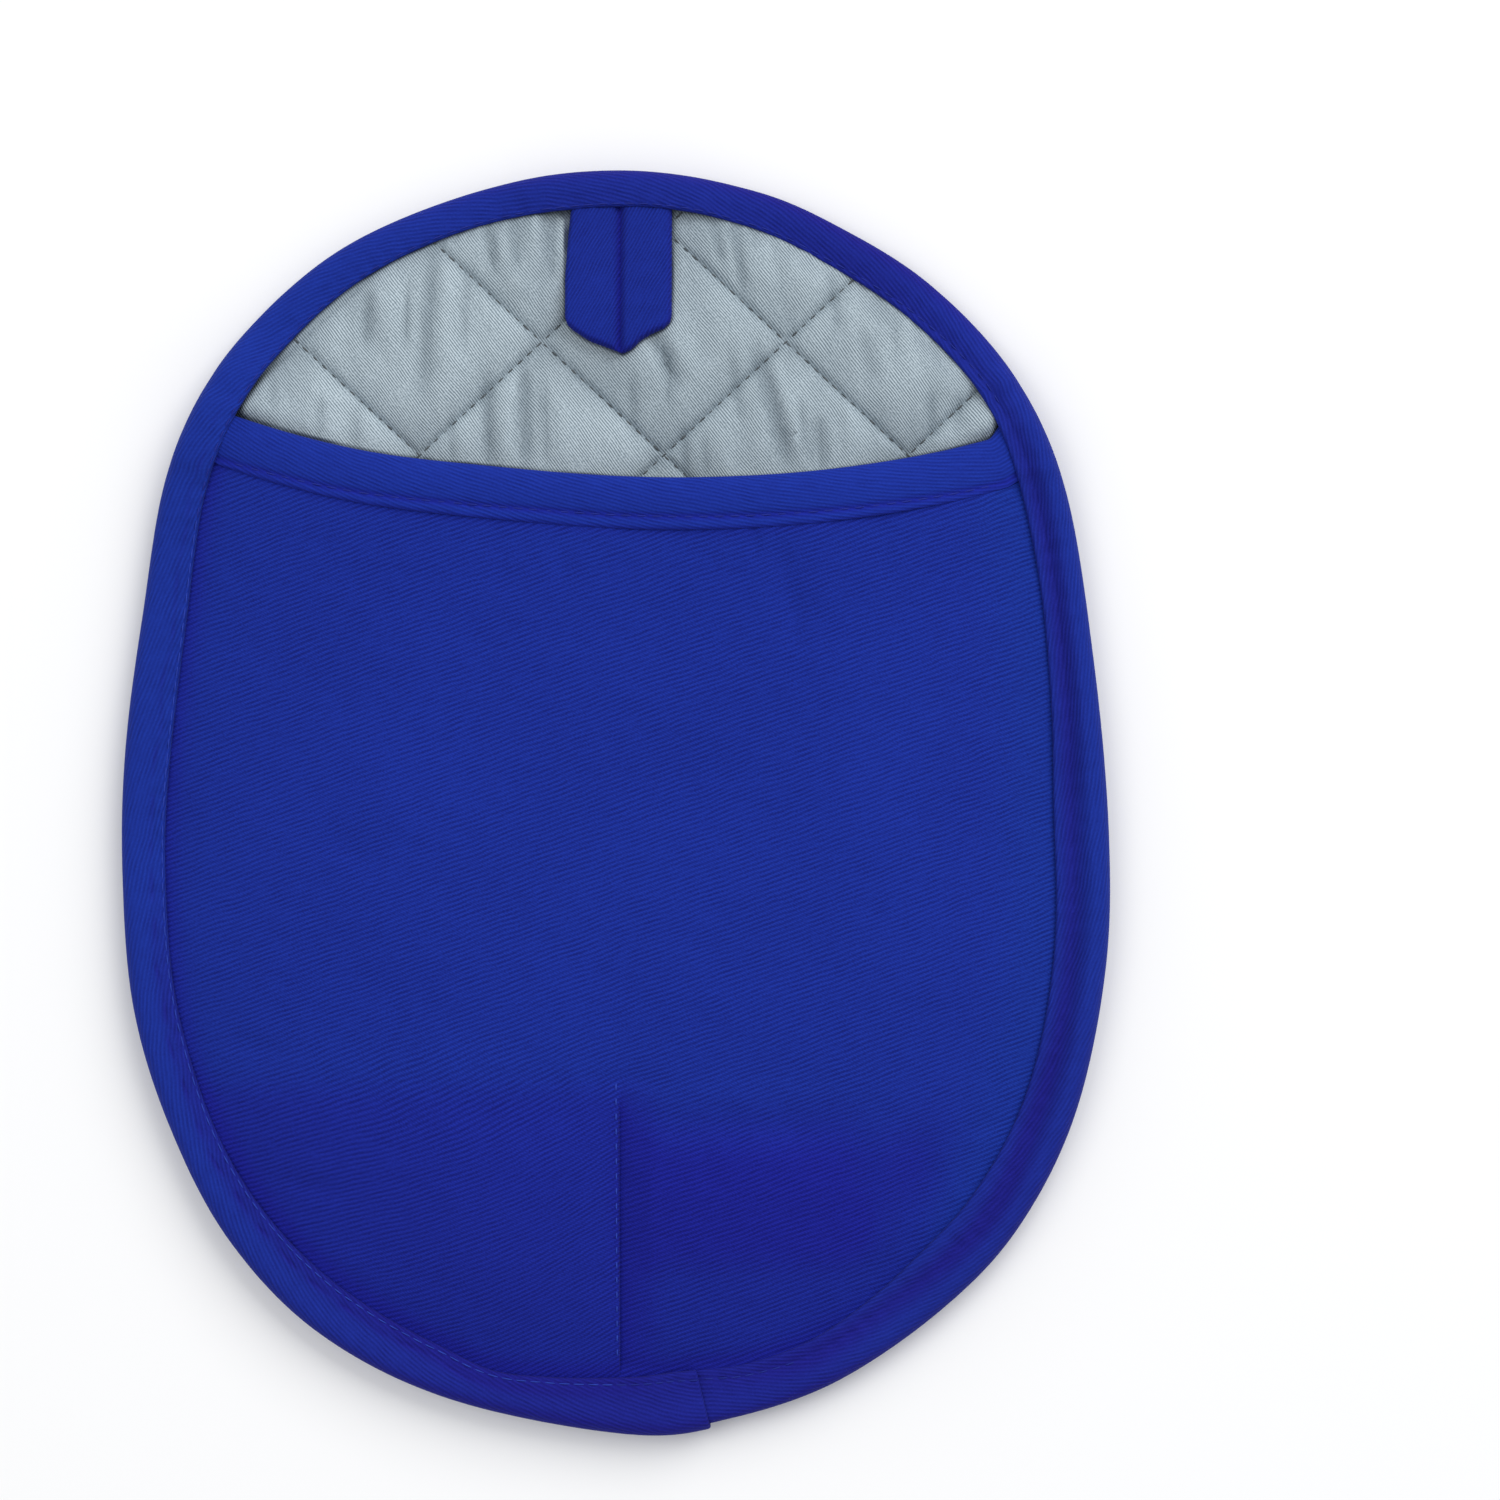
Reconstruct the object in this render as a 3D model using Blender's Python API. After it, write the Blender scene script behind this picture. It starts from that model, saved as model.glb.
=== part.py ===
"""A padded oval pot holder with a hand pocket, lying on its back.

A silicone face is sewn to a plain back panel. On the panel lie a quilted, filled lining and
a pocket that covers its lower two thirds. One binding holds the whole edge, a second one
holds the pocket's mouth, and a strap folded down at the top is the hanging loop.

Lengths are in millimetres until MM turns them into metres. +Y is the top of the holder and
+Z is its pocket side. The silicone lies on z = 0.
"""

import math

import bmesh
import bpy
import numpy as np

MM = 0.001
GAP = 0.3  # between neighbouring pieces
CLOTH = 1.0  # thickness of the back panel and of the pocket
TAPE = 0.9  # thickness of a binding's folded layer

# Finished edge, anticlockwise from the top as the pocket side shows it
# x, y
EDGE = (
    (2.9, 114.5),
    (-19.5, 112.3),
    (-43.0, 104.1),
    (-58.9, 93.6),
    (-72.4, 78.4),
    (-81.4, 59.2),
    (-85.8, 34.0),
    (-88.9, 10.0),
    (-89.5, -12.0),
    (-87.5, -37.0),
    (-80.8, -59.0),
    (-70.0, -79.5),
    (-53.5, -96.4),
    (-29.8, -108.2),
    (2.5, -114.5),
    (21.0, -112.4),
    (40.5, -104.6),
    (58.9, -91.9),
    (72.6, -77.4),
    (83.0, -57.0),
    (88.6, -31.0),
    (89.3, -6.0),
    (86.6, 25.3),
    (81.3, 57.0),
    (71.5, 78.2),
    (57.2, 93.7),
    (41.0, 104.1),
    (24.8, 111.0),
)

# Edge binding's width on the pocket side, by direction from the middle: 0 is right, 90 is the top
# direction, width
BINDING_FRONT = (
    (0, 10.4),
    (50, 7.5),
    (90, 7.0),
    (125, 6.7),
    (180, 8.0),
    (225, 8.5),
    (268, 10.7),
    (320, 10.4),
    (360, 10.4),
)
BINDING_BACK = 8.7
BINDING_WALL = 1.15  # from the finished edge to the hollow that holds the layers
BINDING_SLACK = 0.15  # the bindings lie this much looser than GAP
BINDING_BEND = 2.2  # how far in the outer fold curves
BINDING_CROWN = 0.3  # of the upper layer's middle over its seam
BINDING_CROWN_AT = 0.55  # share of its width
BINDING_LIP = 0.8  # of the tape's thickness, where it is sewn down
# How the binding's upper layer comes down again beyond a piece that it wraps
POCKET_END = (6.0, 14.0)  # level for so long past the pocket's corner, then falling for so long
STRAP_END = (3.0, 10.0)  # the same, past the strap's side
TUCK = BINDING_WALL + GAP + BINDING_SLACK  # the layers' cut edges, in from the finished edge
LAP_X = 17.2  # where the binding's folded end lies over its start
LAP_STEP = 0.8  # how far the end under the lap lies in from the lap's own edge
LAP_DROP = 0.4  # and how far below its top
LAP_FADE = 26.0  # along the edge until both are gone
LAP_WIDTH = 0.4

SILICONE_INSET = 10.7
SILICONE_THICK = 1.8
SILICONE_ROUND = 0.5

# Pocket's mouth edge, from left to right
# x, y
MOUTH = (
    (-80.0, 74.0),
    (-68.0, 69.3),
    (-47.7, 63.4),
    (-21.0, 59.8),
    (14.5, 57.9),
    (37.5, 59.3),
    (57.8, 62.7),
    (80.0, 69.0),
)
POCKET_RISE = 9.0  # of the dome over its edge
POCKET_REACH = 45.0  # from the edge binding to the full height
MOUTH_LIFT = 1.5  # the mouth gapes by this much more
MOUTH_REACH = 30.0
POCKET_MIDDLE_Y = -8.0
DART_X = 0.7
DART_TOP = -49.5
DART_FADE = 20.0  # from the dart's point down to its full depth
DART_SHARE = 0.25  # of the dome's height that the dart draws in
DART_HALF = 6.0
MOUTH_TAPE = 9.0  # width of the mouth's binding on each side of the cloth
MOUTH_END_GAP = 0.6  # from its ends to the edge binding
MOUTH_REACH_X = 74.0  # the mouth edge meets the finished edge past this

# Filled lining: height of its top by distance in from the edge binding's inner edge
# distance, z
LINING_PRESS = (
    (0.5, 4.4),
    (4.0, 5.3),
    (10.0, 6.8),
    (18.0, 7.9),
    (28.0, 8.4),
)
QUILT_CROSSING = (8.7, 62.9)  # one crossing of the sewn channels
QUILT_HALF = (22.1, 20.5)  # half of a diamond's width and height
QUILT_SEAM = 0.4  # the channels' share of the crowns' height over the pressed edge
QUILT_CROWN_Z = 8.2
CUT_ABOVE = 0.3  # the lining's edge is trimmed to a form this far over its crowns
QUILT_CELLS = 7  # diamonds from the crossing outwards, each way
QUILT_STEPS = 5  # mesh steps along a diamond's side

STRAP_LEG = 9.2
STRAP_SLIT = 0.4
STRAP_THICK = 1.2
STRAP_X = 0.8
STRAP_TOP = 110.5
STRAP_TIP = (1.3, 81.0)
STRAP_TIP_SLOPE = 0.6
STRAP_ROWS = 9
STRAP_JOINED_ROWS = 2

EDGE_STATIONS = 88
POCKET_SIDE_STATIONS = 24
MOUTH_STATIONS = 22
POCKET_RINGS = (0.86, 0.70, 0.52, 0.34, 0.17)  # shares of the way out from the pocket's middle

PANEL_BOTTOM = SILICONE_THICK + GAP
LINING_BOTTOM = PANEL_BOTTOM + CLOTH + GAP
LINING_EDGE_TOP = LINING_PRESS[0][1]
LIP_GAP = LINING_PRESS[0][0]  # the layers start to rise this far inside the edge binding
POCKET_EDGE_TOP = LINING_EDGE_TOP + GAP + CLOTH
TAPE_BOTTOM = PANEL_BOTTOM - GAP - TAPE

# r, g, b in linear light, roughness
BLUE_TWILL = (0.012, 0.024, 0.31, 0.85)
BLUE_CANVAS = (0.016, 0.035, 0.34, 0.88)
GREY_LINING = (0.36, 0.43, 0.47, 0.9)
BLUE_SILICONE = (0.008, 0.018, 0.26, 0.45)


class Outline:
    """The finished edge as a smooth closed curve. A share of 0 to 1 is a place along it."""

    def __init__(self, points, per_span=14):
        rows = np.array(points, float)
        spans = []
        for i in range(len(rows)):
            a, b, c, d = (rows[(i + k) % len(rows)] for k in (-1, 0, 1, 2))
            for t in np.linspace(0, 1, per_span, endpoint=False):
                spans.append(
                    b
                    + 0.5 * t * (c - a)
                    + t * t * (a - 2.5 * b + 2 * c - 0.5 * d)
                    + t**3 * (1.5 * (b - c) + 0.5 * (d - a))
                )
        self.points = np.array(spans)
        self.points -= (self.points.max(axis=0) + self.points.min(axis=0)) / 2
        closed = np.vstack([self.points, self.points[:1]])
        steps = np.linalg.norm(np.diff(closed, axis=0), axis=1)
        self.length = steps.sum()
        self.shares = np.append(0, np.cumsum(steps)) / self.length
        self.closed = closed

    def at(self, share):
        share = share % 1.0
        return np.array([np.interp(share, self.shares, self.closed[:, k]) for k in (0, 1)])

    def place(self, share, inset=0.0):
        """The point inset from the edge, square to it."""
        step = 2.0 / self.length
        along = self.at(share + step) - self.at(share - step)
        along /= np.linalg.norm(along)
        inward = np.array([-along[1], along[0]])
        return self.at(share) + inset * inward

    def inside(self, x, y):
        """Distance in from the finished edge."""
        return np.hypot(self.points[:, 0] - x, self.points[:, 1] - y).min()

    def share_where(self, test, start, stop, steps=400):
        """The first share between two others where test(share) turns from below 0 to above."""
        before = start
        for share in np.linspace(start, stop, steps)[1:]:
            if test(share) >= 0:
                low, high = test(before), test(share)
                return before + (share - before) * low / (low - high)
            before = share
        raise ValueError("the outline never gets there")


def smooth_step(value):
    value = min(max(value, 0.0), 1.0)
    return value * value * (3 - 2 * value)


def mouth_y(x):
    """Height of the mouth edge on the plan, smooth between the rows of MOUTH."""
    rows = np.array(MOUTH)
    slopes = np.gradient(rows[:, 1], rows[:, 0])
    i = int(np.clip(np.searchsorted(rows[:, 0], x) - 1, 0, len(rows) - 2))
    (x0, y0), (x1, y1) = rows[i], rows[i + 1]
    t = (x - x0) / (x1 - x0)
    h = x1 - x0
    return (
        (1 + 2 * t) * (1 - t) ** 2 * y0
        + t * (1 - t) ** 2 * h * slopes[i]
        + t * t * (3 - 2 * t) * y1
        + t * t * (t - 1) * h * slopes[i + 1]
    )


def binding_front(x, y):
    directions, widths = np.array(BINDING_FRONT, float).T
    return np.interp(math.degrees(math.atan2(y, x)) % 360, directions, widths)


def mouth_lift(x, y):
    return MOUTH_LIFT * smooth_step(1 - (mouth_y(x) - y) / MOUTH_REACH)


def dart_share(x, y):
    """How much of the dome the dart takes away: all of DART_SHARE on its line, none at its side."""
    across = max(0.0, 1 - abs(x - DART_X) / DART_HALF)
    along = smooth_step((DART_TOP - y) / DART_FADE)
    return DART_SHARE * across * along


def pocket_top(outline, x, y):
    """Height of the pocket's outer side."""
    past_binding = max(0.0, outline.inside(x, y) - binding_front(x, y) - LIP_GAP)
    rise = POCKET_RISE * (1 - (1 - min(past_binding / POCKET_REACH, 1.0)) ** 2)
    return POCKET_EDGE_TOP + mouth_lift(x, y) + rise * (1 - dart_share(x, y))


def wrapped_top(x, y):
    """Height of what the edge binding's upper layer lies on: lining, pocket edge or strap."""

    def beyond(distance, end):
        level, falling = end
        return 1 - smooth_step((distance - level) / falling)

    pocket = POCKET_EDGE_TOP + mouth_lift(x, y) - LINING_EDGE_TOP
    pocket *= beyond(y - mouth_y(x), POCKET_END)
    strap = GAP + STRAP_THICK if y > 0 else 0.0
    strap *= beyond(abs(x - STRAP_X) - STRAP_LEG - STRAP_SLIT / 2, STRAP_END)
    return LINING_EDGE_TOP + max(pocket, strap)


def pressed_top(outline, x, y):
    """Height of the lining's envelope, which falls off towards the binding."""
    distances, heights = np.array(LINING_PRESS).T
    past_binding = outline.inside(x, y) - binding_front(x, y)
    return min(np.interp(past_binding, distances, heights), QUILT_CROWN_Z)


def material(name, color):
    made = bpy.data.materials.new(name)
    made.use_nodes = True
    shader = made.node_tree.nodes["Principled BSDF"]
    shader.inputs["Base Color"].default_value = (*color[:3], 1.0)
    shader.inputs["Roughness"].default_value = color[3]
    shader.inputs["Metallic"].default_value = 0.0
    made.diffuse_color = (*color[:3], 1.0)
    return made


def new_object(name, data, collection, surface=None):
    made = bpy.data.objects.new(name, data)
    collection.objects.link(made)
    if surface:
        data.materials.append(surface)
    return made


def mesh_object(name, bm, collection, surface=None):
    """Turns a bmesh in millimetres into an object in metres, its faces pointing out."""
    bmesh.ops.scale(bm, vec=(MM, MM, MM), verts=bm.verts)
    bmesh.ops.recalc_face_normals(bm, faces=bm.faces)
    mesh = bpy.data.meshes.new(name)
    bm.to_mesh(mesh)
    bm.free()
    made = new_object(name, mesh, collection, surface)
    mesh.shade_smooth()
    mesh.set_sharp_from_angle(angle=math.radians(40))
    return made


def join_rings(bm, rings, wrap=False):
    """Faces between neighbouring closed rings of vertices, and from the last to the first."""
    count = len(rings[0])
    pairs = list(zip(rings, rings[1:]))
    if wrap:
        pairs.append((rings[-1], rings[0]))
    for near, far in pairs:
        for i in range(count):
            j = (i + 1) % count
            bm.faces.new((near[i], near[j], far[j], far[i]))


def vertex_rings(bm, rings):
    return [[bm.verts.new(point) for point in ring] for ring in rings]


def plate(name, outline, inset, bottom, thickness, rounding, collection, surface):
    """A flat sheet with the holder's outline, as an extruded 2D curve."""
    curve = bpy.data.curves.new(name, "CURVE")
    curve.dimensions = "2D"
    curve.fill_mode = "BOTH"
    curve.extrude = (thickness / 2 - rounding) * MM
    curve.bevel_depth = rounding * MM
    curve.bevel_resolution = 1
    spline = curve.splines.new("POLY")
    spline.points.add(EDGE_STATIONS - 1)
    spline.use_cyclic_u = True
    for i, point in enumerate(spline.points):
        x, y = outline.place(i / EDGE_STATIONS, inset + rounding)
        point.co = (x * MM, y * MM, 0.0, 1.0)
    made = new_object(name, curve, collection, surface)
    made.location.z = (bottom + thickness / 2) * MM
    return made


def quilted_slab(outline, collection):
    """A slab whose top is diamonds, crowned between sewn channels that run along its grid."""
    bm = bmesh.new()
    steps = 2 * QUILT_CELLS * QUILT_STEPS
    bmesh.ops.create_grid(bm, x_segments=steps, y_segments=steps, size=QUILT_CELLS)
    for vertex in bm.verts:
        u, v = vertex.co.x, vertex.co.y
        puff = math.sqrt(abs(math.sin(math.pi * u) * math.sin(math.pi * v)))
        vertex.co.x = QUILT_CROSSING[0] + (u - v) * QUILT_HALF[0]
        vertex.co.y = QUILT_CROSSING[1] + (u + v) * QUILT_HALF[1]
        loft = pressed_top(outline, vertex.co.x, vertex.co.y) - LINING_EDGE_TOP
        vertex.co.z = LINING_EDGE_TOP + loft * (QUILT_SEAM + (1 - QUILT_SEAM) * puff)
    lower = bmesh.ops.extrude_face_region(bm, geom=bm.faces[:])["geom"]
    for item in lower:
        if isinstance(item, bmesh.types.BMVert):
            item.co.z = PANEL_BOTTOM
    return mesh_object("quilted_lining", bm, collection, material("grey lining", GREY_LINING))


def pressed_envelope(outline, collection):
    """The space that the binding and the pocket leave to the filled lining."""
    profile = [(TUCK, LINING_BOTTOM), (TUCK, LINING_EDGE_TOP)]
    bm = bmesh.new()
    rings = []
    for inset, z in profile:
        rings.append([(*outline.place(i / EDGE_STATIONS, inset), z) for i in range(EDGE_STATIONS)])
    for distance, height in LINING_PRESS:
        z = height if distance == LINING_PRESS[0][0] else height + CUT_ABOVE
        ring = []
        for i in range(EDGE_STATIONS):
            width = binding_front(*outline.at(i / EDGE_STATIONS))
            ring.append((*outline.place(i / EDGE_STATIONS, width + distance), z))
        rings.append(ring)
    rings = vertex_rings(bm, rings)
    join_rings(bm, rings)
    bm.faces.new(rings[0])
    bm.faces.new(rings[-1])
    made = mesh_object("lining_envelope", bm, collection)
    made.hide_render = True
    made.display_type = "WIRE"
    return made


def quilted_lining(outline, parts, cutters):
    made = quilted_slab(outline, parts)
    cut = made.modifiers.new("pressed edge", "BOOLEAN")
    cut.operation = "INTERSECT"
    cut.object = pressed_envelope(outline, cutters)
    return made


def mouth_ends(outline, gap, distances):
    """The mouth's leftmost and rightmost x whose points this far into it clear the edge binding."""

    def clear(x):
        places = [below_mouth(x, mouth_y(x), distance) for distance in distances]
        return all(outline.inside(*p) >= binding_front(*p) + gap for p in places)

    free = [x for x in np.linspace(-MOUTH_REACH_X, MOUTH_REACH_X, 593) if clear(x)]
    return free[0], free[-1]


def mouth_row(outline):
    """Mouth edge points along the folded tape, left to right."""
    left, right = mouth_ends(outline, MOUTH_END_GAP, (-TAPE - GAP, 0.0, MOUTH_TAPE))
    return [(x, mouth_y(x)) for x in np.linspace(left, right, MOUTH_STATIONS)]


def below_mouth(x, y, distance):
    """The point this far into the pocket, square to the mouth edge."""
    slope = mouth_y(x + 0.5) - mouth_y(x - 0.5)
    scale = distance / math.hypot(1.0, slope)
    return x + scale * slope, y - scale


def pocket_stations(outline):
    """Three points for each station round the pocket: its edge, halfway in, and fully in.

    Along the mouth they lie under its binding, and along the holder's edge under that one.
    """
    belows = (0.0, MOUTH_TAPE / 2, MOUTH_TAPE)

    def inset_of(level, share):
        width = binding_front(*outline.at(share)) + LIP_GAP
        return (TUCK, (TUCK + width) / 2, width)[level]

    def corner(level, start, stop, sign):
        def under_mouth(share):
            x, y = outline.place(share, inset_of(level, share))
            return sign * (mouth_y(x) - belows[level] - y)

        return outline.share_where(under_mouth, start, stop)

    def at_edge(share):
        return [outline.place(share, inset_of(level, share)) for level in range(3)]

    left = [corner(level, 0.02, 0.3, 1) for level in range(3)]
    right = [corner(level, 0.7, 0.98, -1) for level in range(3)]
    dart = outline.share_where(lambda share: outline.at(share)[0] - DART_X, 0.3, 0.7)
    steps = POCKET_SIDE_STATIONS
    stations = [[outline.place(left[k], inset_of(k, left[k])) for k in range(3)]]
    stations += [at_edge(left[2] + (dart - left[2]) * i / steps) for i in range(1, steps)]
    stations += [[(DART_X, at_edge(dart)[k][1]) for k in range(3)]]
    stations += [at_edge(dart + (right[2] - dart) * i / steps) for i in range(1, steps)]
    stations += [[outline.place(right[k], inset_of(k, right[k])) for k in range(3)]]
    lip_left, lip_right = mouth_ends(outline, LIP_GAP, (0.0,))
    row = [x for x, _ in mouth_row(outline)]
    for x in (lip_right, *reversed(row), lip_left):
        stations.append([below_mouth(x, mouth_y(x), below) for below in belows])
    return stations


def pocket(outline, parts):
    """A domed sheet: rings from its edge to its middle, then pushed down by its thickness."""
    bm = bmesh.new()
    stations = pocket_stations(outline)
    middle = np.array([DART_X, POCKET_MIDDLE_Y])

    def raised(point):
        x, y = point
        return (x, y, pocket_top(outline, x, y))

    rings = [[raised(station[level]) for station in stations] for level in range(3)]
    for share in POCKET_RINGS:
        ring = [middle + share * (np.array(station[2]) - middle) for station in stations]
        rings.append([raised(point) for point in ring])
    rings = vertex_rings(bm, rings)
    join_rings(bm, rings)
    centre = bm.verts.new(raised(middle))
    inner = rings[-1]
    for i, vertex in enumerate(inner):
        bm.faces.new((vertex, inner[(i + 1) % len(inner)], centre))
    lower = bmesh.ops.extrude_face_region(bm, geom=bm.faces[:])["geom"]
    moved = [item for item in lower if isinstance(item, bmesh.types.BMVert)]
    bmesh.ops.translate(bm, vec=(0, 0, -CLOTH), verts=moved)
    return mesh_object("pocket", bm, parts, material("blue twill pocket", BLUE_TWILL))


def tape_section():
    """The mouth binding's folded section: distance into the pocket, height over its outer side."""
    loose = GAP + BINDING_SLACK
    outside = loose + TAPE
    inside = -CLOTH - loose
    half, full = MOUTH_TAPE / 2, MOUTH_TAPE
    middle = -CLOTH / 2
    return (
        (full, outside),
        (half, outside),
        (0.0, outside),
        (-TAPE, (outside + middle) / 2),
        (-TAPE - loose, middle),
        (-TAPE, (inside - TAPE + middle) / 2),
        (0.0, inside - TAPE),
        (half, inside - TAPE),
        (full, inside - TAPE),
        (full, inside),
        (half, inside),
        (0.0, inside),
        (-GAP, inside + GAP),
        (-GAP, 0.0),
        (0.0, loose),
        (half, loose),
        (full, loose),
    )


def pocket_binding(outline, parts):
    bm = bmesh.new()
    rings = []
    for x, y in mouth_row(outline):
        ring = []
        for into, rise in tape_section():
            px, py = below_mouth(x, y, into)
            on_x, on_y = below_mouth(x, y, max(into, 0.0))
            ring.append((px, py, pocket_top(outline, on_x, on_y) + rise))
        rings.append(ring)
    rings = vertex_rings(bm, rings)
    join_rings(bm, rings)
    bm.faces.new(rings[0])
    bm.faces.new(rings[-1])
    return mesh_object("pocket_binding", bm, parts, material("blue twill mouth tape", BLUE_TWILL))


def binding_ring(outline, share, step):
    """One section of the edge binding. The step draws in the part that lies under the lap."""
    x, y = outline.at(share)
    width = binding_front(x, y)
    start = LAP_STEP * step
    drop = LAP_DROP * step

    def under(inset):
        return wrapped_top(*outline.place(share, inset)) + GAP + BINDING_SLACK

    top = under(BINDING_BEND) + TAPE - drop
    middle = (top + TAPE_BOTTOM) / 2
    quarter = math.sqrt(0.5)
    bend = BINDING_BEND - start
    inner = BINDING_CROWN_AT * width
    section = (
        (BINDING_BACK, TAPE_BOTTOM),
        (BINDING_BEND, TAPE_BOTTOM),
        (start + bend * (1 - quarter), middle - (middle - TAPE_BOTTOM) * quarter),
        (start, middle),
        (start + bend * (1 - quarter), middle + (top - middle) * quarter),
        (BINDING_BEND, top),
        (inner, under(inner) + TAPE + BINDING_CROWN - drop),
        (width, under(width) + BINDING_LIP * TAPE),
        (width, under(width)),
        (inner, under(inner)),
        (BINDING_WALL, under(BINDING_WALL)),
        (BINDING_WALL, PANEL_BOTTOM - GAP),
        (BINDING_BACK, PANEL_BOTTOM - GAP),
    )
    return [(*outline.place(share, inset), z) for inset, z in section]


def edge_binding(outline, parts):
    """A folded strip round the whole edge, from under the lap back to the lap's folded end."""
    bm = bmesh.new()
    lap = outline.share_where(lambda share: outline.at(share)[0] - LAP_X, 0.4, 0.8)
    free = 1.0 - LAP_WIDTH / outline.length
    rings = []
    for i in range(EDGE_STATIONS + 1):
        travelled = free * i / EDGE_STATIONS
        step = 1 - smooth_step(travelled * outline.length / LAP_FADE)
        rings.append(binding_ring(outline, lap + LAP_WIDTH / outline.length + travelled, step))
    join_rings(bm, vertex_rings(bm, rings), wrap=True)
    return mesh_object("edge_binding", bm, parts, material("blue twill edge tape", BLUE_TWILL))


def hanging_loop(outline, parts):
    """Two legs side by side with a slit between them, joined in a blunt point at the tip."""
    half = STRAP_LEG + STRAP_SLIT / 2
    columns = (-half, -half / 2, -STRAP_SLIT / 2, STRAP_SLIT / 2, half / 2, half)
    bm = bmesh.new()
    grid = []
    for row in range(STRAP_ROWS + 1):
        vertices = []
        for across in columns:
            x = STRAP_X + across
            tip = STRAP_TIP[1] + STRAP_TIP_SLOPE * abs(x - STRAP_TIP[0])
            y = STRAP_TOP + (tip - STRAP_TOP) * row / STRAP_ROWS
            z = pressed_top(outline, x, y) + GAP + STRAP_THICK
            vertices.append(bm.verts.new((x, y, z)))
        grid.append(vertices)
    slit = len(columns) // 2 - 1
    for row in range(STRAP_ROWS):
        for column in range(len(columns) - 1):
            if column == slit and row < STRAP_ROWS - STRAP_JOINED_ROWS:
                continue
            near, far = grid[row], grid[row + 1]
            bm.faces.new((near[column], near[column + 1], far[column + 1], far[column]))
    lower = bmesh.ops.extrude_face_region(bm, geom=bm.faces[:])["geom"]
    moved = [item for item in lower if isinstance(item, bmesh.types.BMVert)]
    bmesh.ops.translate(bm, vec=(0, 0, -STRAP_THICK), verts=moved)
    return mesh_object("hanging_loop", bm, parts, material("blue twill strap", BLUE_TWILL))


def new_collection(name):
    made = bpy.data.collections.new(name)
    bpy.context.scene.collection.children.link(made)
    return made


def main():
    for old in list(bpy.data.objects):
        bpy.data.objects.remove(old)
    parts = new_collection("pot_holder")
    cutters = new_collection("cutters")
    cutters.hide_render = True
    outline = Outline(EDGE)
    silicone = material("blue silicone", BLUE_SILICONE)
    canvas = material("blue canvas", BLUE_CANVAS)
    plate(
        "silicone_face",
        outline,
        SILICONE_INSET,
        0.0,
        SILICONE_THICK,
        SILICONE_ROUND,
        parts,
        silicone,
    )
    plate("back_panel", outline, TUCK, PANEL_BOTTOM, CLOTH, 0.0, parts, canvas)
    quilted_lining(outline, parts, cutters)
    pocket(outline, parts)
    pocket_binding(outline, parts)
    edge_binding(outline, parts)
    hanging_loop(outline, parts)


main()
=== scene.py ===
"""The looks of a padded oval pot holder with a hand pocket, lying on its back.

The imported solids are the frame. A finer piece stands for each of them: twill and canvas with
their weave, seams, puckers and stitches, a quilted lining, and a silicone face with honeycomb
ribs and a bead round its edge.

Lengths are in millimetres until MM turns them into metres. +Y is the top of the holder and
+Z is its pocket side. The silicone lies on z = 0.
"""

import math

import bmesh
import bpy
import numpy as np
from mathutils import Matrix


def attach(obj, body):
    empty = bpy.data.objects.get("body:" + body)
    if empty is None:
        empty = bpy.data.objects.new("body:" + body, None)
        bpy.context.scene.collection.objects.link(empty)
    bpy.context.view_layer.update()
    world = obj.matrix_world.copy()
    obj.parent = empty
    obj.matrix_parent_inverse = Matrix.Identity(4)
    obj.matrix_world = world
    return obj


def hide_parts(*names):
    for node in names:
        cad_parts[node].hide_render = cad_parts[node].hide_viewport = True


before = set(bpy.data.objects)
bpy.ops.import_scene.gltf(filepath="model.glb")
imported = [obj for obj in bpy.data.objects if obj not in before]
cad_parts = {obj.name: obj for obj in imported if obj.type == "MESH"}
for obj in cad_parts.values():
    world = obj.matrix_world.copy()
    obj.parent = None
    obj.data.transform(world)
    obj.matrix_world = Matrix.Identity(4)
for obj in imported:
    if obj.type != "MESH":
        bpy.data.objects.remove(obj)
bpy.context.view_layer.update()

MM = 0.001
GAP = 0.3  # between neighbouring solids of the frame
CLOTH = 1.0  # thickness of the frame's cloth
TAPE = 0.9  # and of its edge binding

# Finished edge, anticlockwise from the top as the pocket side shows it
# x, y
EDGE = (
    (2.9, 114.5),
    (-19.5, 112.3),
    (-43.0, 104.1),
    (-58.9, 93.6),
    (-72.4, 78.4),
    (-81.4, 59.2),
    (-85.8, 34.0),
    (-88.9, 10.0),
    (-89.5, -12.0),
    (-87.5, -37.0),
    (-80.8, -59.0),
    (-70.0, -79.5),
    (-53.5, -96.4),
    (-29.8, -108.2),
    (2.5, -114.5),
    (21.0, -112.4),
    (40.5, -104.6),
    (58.9, -91.9),
    (72.6, -77.4),
    (83.0, -57.0),
    (88.6, -31.0),
    (89.3, -6.0),
    (86.6, 25.3),
    (81.3, 57.0),
    (71.5, 78.2),
    (57.2, 93.7),
    (41.0, 104.1),
    (24.8, 111.0),
)

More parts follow.
